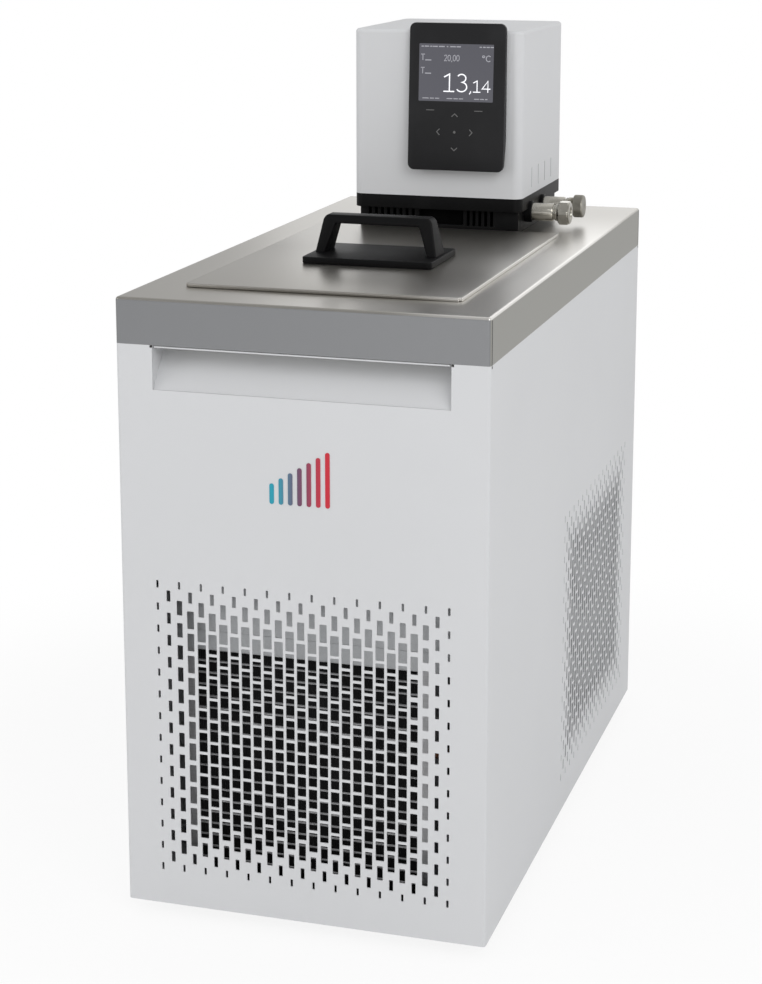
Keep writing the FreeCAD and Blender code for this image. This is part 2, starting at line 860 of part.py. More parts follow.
def evaporator_coil():
    """Evaporator: a rectangular coil around the pump, with both ends at the tank's rear wall."""
    end = bath_rear - 5
    side = evaporator_half
    points = [(-riser_x, end, riser_z), (-riser_x, evaporator_rear, riser_z),
              (-riser_x, evaporator_rear, evaporator_z)]
    step = evaporator_pitch / 4
    z = evaporator_z
    for turn in range(evaporator_turns):
        points += [(-side, evaporator_front, z), (side, evaporator_front, z + step)]
        if turn < evaporator_turns - 1:
            points += [(side, evaporator_rear - evaporator_return, z + 2 * step),
                       (-side, evaporator_rear - evaporator_return, z + 3 * step)]
        z += evaporator_pitch
    points += [(riser_x, evaporator_rear, z - 2 * step), (riser_x, evaporator_rear, riser_z), (riser_x, end, riser_z)]
    return bent_line(points, evaporator_radius)


def head_cover():
    """White cover of the head, open below, with slots low in its sides and rear."""
    side = head_width / 2
    low = deck_z + head_rise
    top = low + head_height
    rear = head_front + head_length
    shell = box(-side, side, head_front, rear, low, top)
    shell = rounded(shell, head_corner, lambda p, d: upright(d))
    shell = rounded(shell, head_top_edge, lambda p, d: p.z > top - 0.1)
    hollow = box(head_wall - side, side - head_wall, head_front + head_wall, rear - head_wall, low, top - head_wall)
    hollow = rounded(hollow, head_corner - head_wall, lambda p, d: upright(d))
    tools = [hollow]
    for number in range(side_vents):
        y = rear - side_vent_rear - number * side_vent_pitch
        for x in (-side, side - head_wall):
            tools.append(box(x, x + head_wall, y - side_vent_width / 2, y + side_vent_width / 2,
                             low + side_vent_rise, low + side_vent_rise + side_vent_height))
    return cut_all(shell, tools)


def head_bridge():
    """Black moulded bridge between the deck and the head, with ventilation slots in its front."""
    side = head_width / 2
    top = deck_z + head_rise
    rear = head_front + head_length
    flange_low = top - bridge_flange
    foot_side = side - bridge_inset
    foot_front = head_front + bridge_front_inset
    foot_rear = rear - bridge_inset
    flange = box(-side, side, head_front, rear, flange_low, top)
    flange = rounded(flange, head_corner, lambda p, d: upright(d))
    foot = box(-foot_side, foot_side, foot_front, foot_rear, deck_z, flange_low)
    foot = rounded(foot, head_corner - 2, lambda p, d: upright(d))
    cavity = box(bridge_wall - foot_side, foot_side - bridge_wall, foot_front + bridge_wall,
                 foot_rear - bridge_wall, deck_z, top - bridge_wall)
    tools = [cavity]
    front_wall = (foot_front, foot_front + bridge_wall)
    vent_top = flange_low - front_vent_drop
    for number in range(left_vents):
        x = left_vent_start + left_vent_pitch * number
        tools.append(box(x - front_vent_width / 2, x + front_vent_width / 2, *front_wall,
                         vent_top - left_vent_height, vent_top))
    tools.append(box(recess_left, recess_right, *front_wall, deck_z + recess_rise, flange_low - recess_drop))
    for number in range(right_vents):
        x = right_vent_start + right_vent_pitch * number
        tools.append(box(x - front_vent_width / 2, x + front_vent_width / 2, *front_wall,
                         deck_z + right_vent_rise, vent_top))
    z = deck_z + connector_rise
    bosses = []
    for y in (return_y, pump_y):
        bosses.append(rod((foot_side - bridge_wall, y, z), (side, y, z), collar_radius))
        tools.append(rod((foot_side - bridge_wall - 1, y, z), (side + 1, y, z), pipe_radius + pass_gap))
    tools.append(rod((0, pump_y, top - bridge_wall - 1), (0, pump_y, top + 1), motor_radius - 12))
    return cut_all(fuse([flange, foot] + bosses), tools)


def panel_outline():
    """Side outline of the control panel: leaning face, bend and sloping underside."""
    low = deck_z + head_rise + panel_bottom_rise
    top = low + panel_height
    return [(0, head_front, low), (0, head_front - panel_bend_depth, low + panel_bend_rise),
            (0, head_front - panel_top_depth, top), (0, head_front, top)]


def control_panel():
    """Black wedge-shaped control panel with a window for the screen."""
    start = panel_x - panel_width / 2
    body = prism(panel_outline(), (panel_width, 0, 0)).translated(Vector(start, 0, 0))
    body = rounded(body, panel_corner, lambda p, d: abs(d.x) < 1e-6 and abs(d.y) > 1 and abs(d.z) < 1e-6)
    low = deck_z + head_rise + panel_bottom_rise
    cavity = box(start + panel_rim, start + panel_width - panel_rim, head_front - cavity_depth, head_front,
                 low + cavity_rise, low + panel_height - cavity_drop)
    return cut_all(body, [cavity, screen_block(0.0)])


def screen_block(gap):
    """The screen's block, let into the leaning face of the panel."""
    low = deck_z + head_rise + panel_bottom_rise
    top = low + panel_height
    lean = (panel_bend_depth - panel_top_depth) / (panel_height - panel_bend_rise)
    screen_top = top - screen_drop
    screen_low = screen_top - screen_height
    x0 = screen_x - screen_width / 2 + gap
    y_top = head_front - panel_top_depth - lean * screen_drop
    y_low = head_front - panel_top_depth - lean * (screen_drop + screen_height)
    outline = [(x0, y_low, screen_low + gap), (x0, y_top, screen_top - gap),
               (x0, y_top + screen_thickness, screen_top - gap), (x0, y_low + screen_thickness, screen_low + gap)]
    return prism(outline, (screen_width - 2 * gap, 0, 0))


def display_glass():
    """The screen of the control panel."""
    return screen_block(0.0)


def control_board():
    """Circuit board of the control panel, behind the screen."""
    low = deck_z + head_rise + panel_bottom_rise
    side = control_board_width / 2
    board_low = low + control_board_rise
    return box(panel_x - side, panel_x + side, head_front - control_board_thickness, head_front,
               board_low, board_low + control_board_height)


def mounting_plate():
    """Plate over the rear of the bath that carries the pump, the heater and the probes."""
    foot_side = head_width / 2 - bridge_inset - bridge_wall
    front = head_front + bridge_front_inset + bridge_wall
    rear = head_front + head_length - bridge_inset - bridge_wall
    plate = box(-foot_side, foot_side, front, rear, deck_z, deck_z + plate_thickness)
    places = [(0, pump_y, column_radius), (pipe_x, pump_y, pipe_radius), (pipe_x, return_y, pipe_radius),
              (heater_x - heater_bend, heater_y, heater_radius), (heater_x + heater_bend, heater_y, heater_radius),
              (probe_x, probe_y, probe_radius), (float_x, float_y, float_rod_radius)]
    tools = []
    for x, y, radius in places:
        tools.append(rod((x, y, deck_z - 1), (x, y, deck_z + plate_thickness + 1), radius + pass_gap))
    return cut_all(plate, tools)


def pump_motor():
    """Pump motor on its flange, over the bridge."""
    low = deck_z + head_rise
    flange = box(-motor_flange / 2, motor_flange / 2, pump_y - motor_flange / 2, pump_y + motor_flange / 2,
                 low, low + motor_flange_height)
    flange = rounded(flange, 10.0, lambda p, d: upright(d))
    body = rod((0, pump_y, low + motor_flange_height), (0, pump_y, low + motor_flange_height + motor_height),
               motor_radius)
    bore = rod((0, pump_y, low - 1), (0, pump_y, low + 30.5), shaft_radius + running_gap)
    return fuse([flange, body]).cut(bore)


def pump_shaft():
    """Pump shaft with the impeller at its lower end."""
    low = deck_z + head_rise
    disc_top = pump_z - volute_height / 2 + vane_height
    shaft = rod((0, pump_y, pump_z), (0, pump_y, low + 30), shaft_radius)
    disc = rod((0, pump_y, disc_top - volute_wall), (0, pump_y, disc_top), impeller_radius)
    hub = shaft_radius + volute_wall
    pieces = [shaft, disc, rod((0, pump_y, disc_top), (0, pump_y, pump_z), hub)]
    for number in range(vanes):
        vane = box(hub - 1, impeller_radius - 1, -vane_thickness / 2, vane_thickness / 2, 0, vane_height)
        vane.rotate(Vector(0, 0, 0), Vector(0, 0, 1), number * 360 / vanes)
        pieces.append(vane.translated(Vector(0, pump_y, disc_top)))
    return fuse(pieces)


def pump_housing():
    """Column and volute of the pump, hung from the mounting plate."""
    low = pump_z - volute_height / 2
    top = pump_z + volute_height / 2
    plate_top = deck_z + plate_thickness
    column = rod((0, pump_y, top), (0, pump_y, plate_top + 3), column_radius)
    collar = rod((0, pump_y, plate_top), (0, pump_y, plate_top + 3), column_radius + 6)
    body = rod((0, pump_y, low), (0, pump_y, top), volute_radius)
    spout = rod((volute_radius - 6, pump_y, pump_z), (pipe_x - pipe_radius - 4, pump_y, pump_z), pipe_radius + 1.5)
    tools = [rod((0, pump_y, low + volute_wall), (0, pump_y, top - volute_wall), volute_radius - volute_wall),
             rod((0, pump_y, low - 1), (0, pump_y, low + volute_wall + 1), volute_eye),
             rod((0, pump_y, top - volute_wall - 1), (0, pump_y, plate_top + 4), column_bore),
             rod((volute_radius - 8, pump_y, pump_z), (pipe_x, pump_y, pump_z), pipe_radius - 1.5)]
    return cut_all(fuse([column, collar, body, spout]), tools)


def pump_pipe():
    """Pipe from the volute up to the outlet connector."""
    z = deck_z + connector_rise
    start = pipe_x - pipe_radius - 4
    reach = head_width / 2
    return bent_line([(start, pump_y, pump_z), (pipe_x, pump_y, pump_z), (pipe_x, pump_y, z), (reach, pump_y, z)],
                     pipe_radius, 9.0)


def return_pipe():
    """Pipe from the return connector down into the bath."""
    z = deck_z + connector_rise
    reach = head_width / 2
    return bent_line([(reach, return_y, z), (pipe_x, return_y, z), (pipe_x, return_y, deck_z - return_reach)],
                     pipe_radius, 9.0)


def connector(y):
    """Hose connector on the bridge: a collar, a pipe and a thread for the nut."""
    z = deck_z + connector_rise
    wall = head_width / 2
    end = wall + connector_length + nut_length
    collar = rod((wall, y, z), (wall + 3, y, z), collar_radius)
    pipe = rod((wall + 3, y, z), (end - 3, y, z), connector_radius)
    return fuse([collar, pipe])


def return_nut():
    """Hexagon nut on the return connector."""
    z = deck_z + connector_rise
    start = head_width / 2 + connector_length
    corner = nut_flat / math.cos(math.pi / 6)
    points = []
    for number in range(6):
        angle = math.radians(60 * number)
        points.append((start, return_y + corner * math.cos(angle), z + corner * math.sin(angle)))
    nut = prism(points, (nut_length, 0, 0))
    return nut.cut(rod((start - 1, return_y, z), (start + nut_length - 3, return_y, z), connector_radius))


def outlet_cap():
    """Round cap nut on the outlet connector."""
    z = deck_z + connector_rise
    start = head_width / 2 + connector_length + 3
    end = head_width / 2 + connector_length + nut_length
    cap = rod((start, pump_y, z), (end, pump_y, z), nut_flat)
    return cap.cut(rod((start - 1, pump_y, z), (end - 3, pump_y, z), connector_radius))


def heater():
    """Tubular heater: a long U under the mounting plate, with its terminals above."""
    top = deck_z + plate_thickness + 8
    left = heater_x - heater_bend
    right = heater_x + heater_bend
    return bent_line([(left, heater_y, top), (left, heater_y, heater_z - heater_bend),
                      (right, heater_y, heater_z - heater_bend), (right, heater_y, top)],
                     heater_radius, heater_bend - 0.2)


def collared_rod(x, y, radius, low):
    """A rod that hangs through the mounting plate on a collar."""
    top = deck_z + plate_thickness
    collar = rod((x, y, top), (x, y, top + rod_collar), radius + rod_collar)
    return fuse([rod((x, y, low), (x, y, top + rod_top), radius), collar])


def temperature_probe():
    """Temperature probe in its sheath."""
    return collared_rod(probe_x, probe_y, probe_radius, probe_z)


def float_guide():
    """Rod of the level float, with a stop below it."""
    low = float_z - float_stop
    stop = rod((float_x, float_y, low), (float_x, float_y, float_z), float_rod_radius + float_stop)
    return fuse([collared_rod(float_x, float_y, float_rod_radius, low), stop])


def level_float():
    """Float that rides up its rod with the level."""
    return tube((float_x, float_y, float_z), (float_x, float_y, float_z + float_height), float_radius,
                float_rod_radius + pass_gap)


def power_board():
    """Power electronics on the rear wall of the head."""
    rear = head_front + head_length - head_wall
    low = deck_z + head_rise + board_rise
    side = head_width / 2 - board_side_gap
    back = rear - board_standoff
    face = back - board_thickness
    pieces = [box(-side, side, face, back, low, low + board_height)]
    pieces.append(box(block_offset - block_width / 2, block_offset + block_width / 2, face - block_reach, face,
                      low + block_rise, low + block_rise + block_width))
    reach = side - board_post
    for x in (-reach, reach):
        for z in (low + board_post, low + board_height - board_post):
            pieces.append(box(x - board_post / 2, x + board_post / 2, back, rear,
                              z - board_post / 2, z + board_post / 2))
    return fuse(pieces)


def drain_pipe():
    """Pipe from the bottom of the tank to the drain tap."""
    return bent_line([(drain_x, drain_y, bath_floor - tank_wall), (drain_x, drain_y, drain_z),
                      (drain_x, depth, drain_z)], drain_radius, bend)


def drain_tap():
    """Drain tap: a body on the rear panel with a hose spigot."""
    body_end = depth + drain_body_length
    body = rod((drain_x, depth, drain_z), (drain_x, body_end, drain_z), drain_body_radius)
    flange = rod((drain_x, depth, drain_z), (drain_x, depth + 2.5, drain_z), drain_body_radius + 4)
    spigot = rod((drain_x, body_end, drain_z), (drain_x, depth + rear_reach, drain_z), 5.0)
    y = depth + knob_offset
    neck = rod((drain_x, y, drain_z), (drain_x, y, drain_z + drain_body_radius + knob_gap), 5.0)
    tools = [rod((drain_x, body_end, drain_z), (drain_x, depth + rear_reach + 1, drain_z), 3.5)]
    return cut_all(fuse([body, flange, spigot, neck]), tools)


def drain_knob():
    """Knob that turns the drain tap, with a pointer wing."""
    low = drain_z + drain_body_radius + knob_gap + pass_gap
    y = depth + knob_offset
    knob = rod((drain_x, y, low), (drain_x, y, low + knob_height), knob_radius - 2)
    wing = box(drain_x - knob_radius, drain_x + knob_radius, y - 2, y + 2, low + 3, low + knob_height)
    return fuse([knob, wing])


def mains_inlet():
    """Mains socket: a flange, a recess and three pins."""
    flange = box(inlet_x - inlet_width / 2, inlet_x + inlet_width / 2, depth, depth + 3,
                 inlet_z - inlet_height / 2, inlet_z + inlet_height / 2)
    body = box(inlet_x - socket_width / 2 - sheet, inlet_x + socket_width / 2 + sheet, depth - socket_depth, depth,
               inlet_z - socket_height / 2 - sheet, inlet_z + socket_height / 2 + sheet)
    recess = box(inlet_x - socket_width / 2, inlet_x + socket_width / 2, depth - socket_depth + 2, depth + 3,
                 inlet_z - socket_height / 2, inlet_z + socket_height / 2)
    pieces = [fuse([flange, body]).cut(recess)]
    for x, z in ((-7, -2), (0, 3), (7, -2)):
        pieces.append(box(inlet_x + x - 1, inlet_x + x + 1, depth - socket_depth + 2, depth - 3,
                          inlet_z + z - 2, inlet_z + z + 2))
    return fuse(pieces)


def switch_bezel():
    """Frame of the mains switch, let into the rear panel."""
    w = switch_width / 2
    h = switch_height / 2
    frame = box(switch_x - w - switch_border, switch_x + w + switch_border, depth, depth + 2,
                inlet_z - h - switch_border, inlet_z + h + switch_border)
    body = box(switch_x - w, switch_x + w, depth - 18, depth, inlet_z - h, inlet_z + h)
    well = box(switch_x - w + 2, switch_x + w - 2, depth - 12, depth + 2, inlet_z - h + 2, inlet_z + h - 2)
    y = depth - switch_pin_depth
    pin = rod((switch_x - w, y, inlet_z), (switch_x + w, y, inlet_z), switch_pin_radius)
    return fuse([fuse([frame, body]).cut(well), pin])


def mains_switch():
    """Rocker of the mains switch, on the pin of its frame."""
    w = switch_width / 2 - 2 - switch_gap
    h = switch_height / 2 - 2 - switch_gap
    outline = [(0, depth - 6.5, 0), (0, depth - 2, -h + 1), (0, depth + 3.2, -h + 0.8), (0, depth + 1.4, 0),
               (0, depth + 3.2, h - 0.8), (0, depth - 2, h - 1)]
    rocker = prism(outline, (2 * w, 0, 0)).translated(Vector(switch_x - w, 0, inlet_z))
    rocker.rotate(Vector(switch_x, depth - switch_pin_depth, inlet_z), Vector(1, 0, 0), switch_tilt)
    y = depth - switch_pin_depth
    return rocker.cut(rod((switch_x - 20, y, inlet_z), (switch_x + 20, y, inlet_z), switch_pin_radius + running_gap))


def panel_screws():
    """Screws around the edge of the rear panel."""
    shapes = []
    for x in (-half + 10, half - 10):
        for z in (base_z + 12, (base_z + panel_top) / 2, panel_top - 12):
            shapes.append(rod((x, depth, z), (x, depth + 2, z), 3.5))
    return group(shapes)


pieces = {
    "rubber_feet": feet(),
    "base_tray": base_tray(),
    "front_panel": front_panel(),
    "grip_pocket": grip_pocket(),
    "side_panel_right": side_panel(),
    "side_panel_left": mirrored(side_panel()),
    "rear_panel": rear_panel(),
    "panel_screws": panel_screws(),
    "corner_posts": corner_posts(),
    "deck": deck(),
    "bath_tank": bath_tank(),
    "tank_insulation": tank_insulation(),
    "tank_shelf": tank_shelf(),
    "air_baffle": air_baffle(),
    "lid": lid(),
    "lid_handle": lid_handle(),
    "handle_screws": handle_screws(),
    "condenser_tubes": condenser_tubes(),
    "condenser_fins": condenser_fins(),
    "condenser_headers": condenser_headers(),
    "condenser_frame": condenser_frame(),
    "fan_shroud": fan_shroud(),
    "fan_rotor": fan_rotor(),
    "fan_motor": fan_motor(),
    "fan_bracket": fan_bracket(),
    "compressor": compressor(),
    "compressor_mounts": compressor_mounts(),
    "terminal_cover": terminal_cover(),
    "filter_drier": filter_drier(),
    "discharge_line": discharge_line(),
    "liquid_line": liquid_line(),
    "feed_line": feed_line(),
    "suction_line": suction_line(),
    "evaporator_coil": evaporator_coil(),
    "head_bridge": head_bridge(),
    "head_cover": head_cover(),
    "control_panel": control_panel(),
    "display_glass": display_glass(),
    "control_board": control_board(),
    "mounting_plate": mounting_plate(),
    "pump_motor": pump_motor(),
    "pump_shaft": pump_shaft(),
    "pump_housing": pump_housing(),
    "pump_pipe": pump_pipe(),
    "return_pipe": return_pipe(),
    "return_connector": connector(return_y),
    "outlet_connector": connector(pump_y),
    "return_nut": return_nut(),
    "outlet_cap": outlet_cap(),
    "heater": heater(),
    "temperature_probe": temperature_probe(),
    "float_guide": float_guide(),
    "level_float": level_float(),
    "power_board": power_board(),
    "drain_pipe": drain_pipe(),
    "drain_tap": drain_tap(),
    "drain_knob": drain_knob(),
    "mains_inlet": mains_inlet(),
    "switch_bezel": switch_bezel(),
    "mains_switch": mains_switch(),
}

os.makedirs("parts", exist_ok=True)
for name, shape in pieces.items():
    placed = shape.translated(origin_shift)
    placed.exportStep(os.path.join("parts", name + ".step"))
    print(name, len(placed.Solids), round(placed.Volume), placed.isValid())
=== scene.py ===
import logging
import math
from dataclasses import dataclass, field
from enum import Enum

import bmesh
import bpy
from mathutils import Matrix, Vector
from mathutils.geometry import delaunay_2d_cdt


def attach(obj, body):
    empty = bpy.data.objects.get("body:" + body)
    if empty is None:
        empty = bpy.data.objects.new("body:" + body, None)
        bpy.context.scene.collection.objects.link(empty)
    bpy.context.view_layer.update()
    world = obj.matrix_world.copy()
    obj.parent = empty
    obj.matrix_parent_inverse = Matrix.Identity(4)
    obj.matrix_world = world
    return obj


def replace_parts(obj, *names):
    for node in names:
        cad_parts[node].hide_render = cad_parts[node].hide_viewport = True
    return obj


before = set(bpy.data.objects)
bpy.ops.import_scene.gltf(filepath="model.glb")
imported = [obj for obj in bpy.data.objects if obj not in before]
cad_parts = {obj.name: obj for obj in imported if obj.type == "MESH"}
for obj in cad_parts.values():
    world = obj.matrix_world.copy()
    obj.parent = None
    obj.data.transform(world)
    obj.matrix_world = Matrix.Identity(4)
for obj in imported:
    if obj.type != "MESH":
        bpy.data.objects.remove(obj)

# Looks of a bench bath circulator. Sizes are in millimetres, counted from the middle of the
# width (x), from the front face backwards (y) and from the bench (z), and every mesh is turned
# into the frame's metres when it is made.

logging.basicConfig(level=logging.INFO, format="%(levelname)s %(message)s")
log = logging.getLogger("scene")

MILLIMETRE = 0.001
FRONT_FACE = -304.0
HALF_WIDTH = 147.0
DEPTH = 584.0
HEAD_FRONT = 381.0
BRIDGE_HALF = 77.5
WHITE = (1.0, 1.0, 1.0, 1.0)

# The fan, the pump shaft, the float, the drain knob and the rocker keep the model's own solids,
# so every piece that is made here moves with the housing.
HOUSING_BODY = "housing"

Point = tuple[float, float, float]
Colour = tuple[float, float, float, float]
Line = list[tuple[float, float]]
Face = tuple[int, ...]


def place(x: float, y: float, z: float) -> Vector:
    """The frame's point, in metres, of a point in the object's millimetres."""
    return Vector((x, y + FRONT_FACE, z)) * MILLIMETRE


def linear(red: int, green: int, blue: int) -> Colour:
    """The linear colour of a display colour of 0 to 255."""
    parts = []
    for part in (red, green, blue):
        share = part / 255
        parts.append(share / 12.92 if share <= 0.04045 else ((share + 0.055) / 1.055) ** 2.4)
    return (*parts, 1.0)


class Axis(Enum):
    """An axis of the frame."""

    X = 0
    Y = 1
    Z = 2


# Shader expressions


class Signal:
    """A shader value that takes part in Python expressions."""

    def __init__(self, graph: "Graph", socket: bpy.types.NodeSocket) -> None:
        """Keeps the socket and the graph that it belongs to."""
        self.graph = graph
        self.socket = socket

    def math(self, operation: str, *operands: "Signal | float", clamp: bool = False) -> "Signal":
        """Adds a Math node.

        Args:
            operation: The node's operation.
            operands: Its values or signals, in order.
            clamp: Whether the result is kept between 0 and 1.

        Returns:
            The node's result.
        """
        settings = {"operation": operation, "use_clamp": clamp}
        return self.graph.value("ShaderNodeMath", settings, dict(enumerate(operands)))

    def __add__(self, other: "Signal | float") -> "Signal":
        """This plus another."""
        return self.math("ADD", self, other)

    __radd__ = __add__

    def __sub__(self, other: "Signal | float") -> "Signal":
        """This minus another."""
        return self.math("SUBTRACT", self, other)

    def __rsub__(self, other: "Signal | float") -> "Signal":
        """Another minus this."""
        return self.math("SUBTRACT", other, self)

    def __mul__(self, other: "Signal | float") -> "Signal":
        """This times another."""
        return self.math("MULTIPLY", self, other)

    __rmul__ = __mul__

    def __truediv__(self, other: "Signal | float") -> "Signal":
        """This divided by another."""
        return self.math("DIVIDE", self, other)

    def __rtruediv__(self, other: "Signal | float") -> "Signal":
        """Another divided by this."""
        return self.math("DIVIDE", other, self)

    def least(self, other: "Signal | float") -> "Signal":
        """The smaller of two."""
        return self.math("MINIMUM", self, other)

    def most(self, other: "Signal | float") -> "Signal":
        """The larger of two."""
        return self.math("MAXIMUM", self, other)

    def clamped(self) -> "Signal":
        """Kept between 0 and 1."""
        return self.math("ADD", self, 0.0, clamp=True)

    def wave(self) -> "Signal":
        """The sine."""
        return self.math("SINE", self)

    def rise(self, low: float, high: float) -> "Signal":
        """A smooth step.

        Args:
            low: The value where the step is 0.
            high: The value where the step is 1.

        Returns:
            The step, from 0 to 1.
        """
        return self.graph.value("ShaderNodeMapRange", {"interpolation_type": "SMOOTHSTEP"},
                                {"Value": self, "From Min": low, "From Max": high})


class Graph:
    """A node tree that is filled through one method."""

    def __init__(self, tree: bpy.types.NodeTree) -> None:
        """Empties the tree."""
        self.tree = tree
        tree.nodes.clear()

    def node(self, kind: str, settings: dict | None = None, inputs: dict | None = None) -> bpy.types.Node:
        """Adds one node.

        Args:
            kind: The node's type.
            settings: Its own settings, set first.
            inputs: Values, signals or sockets for its inputs, by name or number.

        Returns:
            The node.
        """
        made = self.tree.nodes.new(kind)
        for name, value in (settings or {}).items():
            setattr(made, name, value)
        for name, value in (inputs or {}).items():
            socket = made.inputs[name]
            if isinstance(value, Signal):
                self.tree.links.new(value.socket, socket)
            elif isinstance(value, bpy.types.NodeSocket):
                self.tree.links.new(value, socket)
            else:
                socket.default_value = value
        return made

    def value(self, kind: str, settings: dict | None = None, inputs: dict | None = None,
              output: int | str = 0) -> Signal:
        """Adds one node and wraps one of its outputs.

        Args:
            kind: The node's type.
            settings: Its own settings.
            inputs: What its inputs take.
            output: The output's name or number.

        Returns:
            The output as a signal.
        """
        return Signal(self, self.node(kind, settings, inputs).outputs[output])

    def place(self) -> Signal:
        """The point on the piece, in metres of the frame."""
        return self.value("ShaderNodeTexCoord", output="Object")

    def part(self, vector: Signal, axis: Axis) -> Signal:
        """One component of a vector."""
        return self.value("ShaderNodeSeparateXYZ", inputs={0: vector}, output=axis.value)

    def stretched(self, vector: Signal, scale: Point) -> Signal:
        """A vector scaled along each axis."""
        return self.value("ShaderNodeVectorMath", {"operation": "MULTIPLY"}, {0: vector, 1: scale})

    def noise(self, vector: Signal, scale: float, detail: float = 2.0, roughness: float = 0.5) -> Signal:
        """Noise around 0.5.

        Args:
            vector: Where it is read.
            scale: Bumps in a metre.
            detail: Octaves.
            roughness: How much the fine octaves count.

        Returns:
            The noise.
        """
        return self.value("ShaderNodeTexNoise", None, {"Vector": vector, "Scale": scale, "Detail": detail,
                                                       "Roughness": roughness})

    def mixed(self, share: Signal | float, first: Signal | tuple, second: Signal | tuple) -> Signal:
        """A mix of two colours.

        Args:
            share: How much of the second.
            first: The first colour.
            second: The second colour.

        Returns:
            The mixed colour.
        """
        return self.value("ShaderNodeMix", {"data_type": "RGBA"}, {0: share, 6: first, 7: second}, output=2)

    def bump(self, height: Signal, strength: float, distance: float) -> Signal:
        """A normal bent by a height.

        Args:
            height: The height, about 0 to 1.
            strength: How strongly it shows.
            distance: What a height of 1 means, in metres.

        Returns:
            The normal.
        """
        return self.value("ShaderNodeBump", None, {"Strength": strength, "Distance": distance,
                                                   "Height": height})


# Finishes


@dataclass(frozen=True)
class Finish:
    """A finish of one material slot."""

    name: str
    slot: str
    colour: Colour
    roughness: float = 0.5
    metallic: float = 0.0
    gloss: float = 0.5

    def shade(self, gain: float, lift: float = 0.0) -> Colour:
        """The colour times a gain, plus a lift."""
        return (*(min(1.0, part * gain + lift) for part in self.colour[:3]), 1.0)

    def material(self) -> bpy.types.Material:
        """The finish as a material, made once.

        Returns:
            The material.
        """
        name = f"{self.name}_finish"
        made = bpy.data.materials.get(name)
        if made is None:
            made = bpy.data.materials.new(name)
            made.use_nodes = True
            graph = Graph(made.node_tree)
            inputs = {"Base Color": self.colour, "Roughness": self.roughness, "Metallic": self.metallic,
                      "Specular IOR Level": self.gloss}
            inputs.update(self.surface(graph))
            shader = graph.node("ShaderNodeBsdfPrincipled", None, inputs)
            graph.node("ShaderNodeOutputMaterial", None, {"Surface": shader.outputs[0]})
            made.diffuse_color = self.colour
        return made

    def surface(self, graph: Graph) -> dict:
        """What changes over the surface.

        Args:
            graph: The material's graph.

        Returns:
            Inputs of the shader, by name.
        """
        return {}


@dataclass(frozen=True)
class PowderCoat(Finish):
    """Baked powder paint with a fine even texture."""

    grain: float = 1500.0
    depth: float = 0.00006
    worn: float = 0.965

    def surface(self, graph: Graph) -> dict:
        """Fine orange-peel bumps, and a breath of tone and gloss over large areas."""
        spot = graph.place()
        peel = graph.noise(spot, self.grain, detail=3.0, roughness=0.6)
        cloud = graph.noise(spot, scale=5.0)
        return {"Base Color": graph.mixed(cloud.rise(0.3, 0.75) * 0.5, self.colour, self.shade(self.worn)),
                "Roughness": self.roughness - 0.06 + 0.12 * cloud + 0.05 * peel,
                "Normal": graph.bump(peel, strength=0.35, distance=self.depth)}


@dataclass(frozen=True)
class BrushedMetal(Finish):
    """Metal with fine lines along one axis."""

    along: Axis = Axis.Y
    line: float = 0.16
    cloudy: float = 0.10
    lines_across: float = 900.0
    lines_along: float = 9.0

    def lined(self, graph: Graph) -> tuple[Signal, Signal, Signal]:
        """Lines stretched along the axis, and soft clouds from handling.

        Args:
            graph: The material's graph.

        Returns:
            The lines, the colour and the roughness.
        """
        scale = [self.lines_across] * 3
        scale[self.along.value] = self.lines_along
        spot = graph.place()
        lines = graph.noise(graph.stretched(spot, tuple(scale)), scale=1.0, detail=3.0, roughness=0.65)
        cloud = graph.noise(spot, scale=7.0, detail=3.0)
        tone = graph.mixed(lines.rise(0.25, 0.75), self.shade(1.0 - self.line), self.colour)
        return lines, tone, self.roughness + self.line * (lines - 0.5) + self.cloudy * (cloud - 0.5)

    def surface(self, graph: Graph) -> dict:
        """The lines in tone, gloss and height."""
        lines, tone, gloss = self.lined(graph)
        return {"Base Color": tone, "Roughness": gloss,
                "Normal": graph.bump(lines, strength=0.18, distance=0.00004)}


@dataclass(frozen=True)
class DeckSteel(BrushedMetal):
    """Brushed steel of the deck and the lid: lined on top with a painted highlight along the right, plain on
    the aprons in painted shade, darker in front than at the side.

    The heights and depths that divide it are in metres of the frame.
    """

    top: float = 0.5006
    front: float = -0.3036
    turn: float = 0.0008
    # Where the painted highlight lies on the top, across and towards the rear, and how strong it is.
    highlight_across: tuple[float, float] = (0.06, 0.13)
    highlight_back: tuple[float, float] = (0.02, 0.24)
    highlight_share: float = 0.8
    apron_roughness: float = 0.44
    # Painted shade: the front apron is a darker, cooler copy of the steel, the side apron a lighter, warmer
    # one.
    front_apron_shade: Colour = linear(146, 147, 149)
    side_apron_shade: Colour = linear(160, 159, 154)
    # The near-white colour of the painted highlight.
    right_highlight: Colour = linear(240, 238, 234)

    def surface(self, graph: Graph) -> dict:
        """The lined top with a painted highlight along its right that fades to the rear, and the plain aprons
        in painted shade.
        """
        lines, tone, gloss = self.lined(graph)
        across, back, height = (graph.part(graph.place(), axis) for axis in Axis)
        level = height.rise(self.top - self.turn, self.top)
        aside = back.rise(self.front, self.front + self.turn)
        # The aprons' painted shade, darker in front than at the side.
        apron = graph.mixed(aside, self.front_apron_shade, self.side_apron_shade)
        # The painted highlight along the top's right, fading towards the rear.
        highlight_fade = self.highlight_share - self.highlight_share * back.rise(*self.highlight_back)
        tone = graph.mixed(across.rise(*self.highlight_across) * highlight_fade, tone, self.right_highlight)
        return {"Base Color": graph.mixed(level, apron, tone),
                "Roughness": level * gloss + (1.0 - level) * self.apron_roughness,
                "Normal": graph.bump(lines * level, strength=0.05, distance=0.00002)}


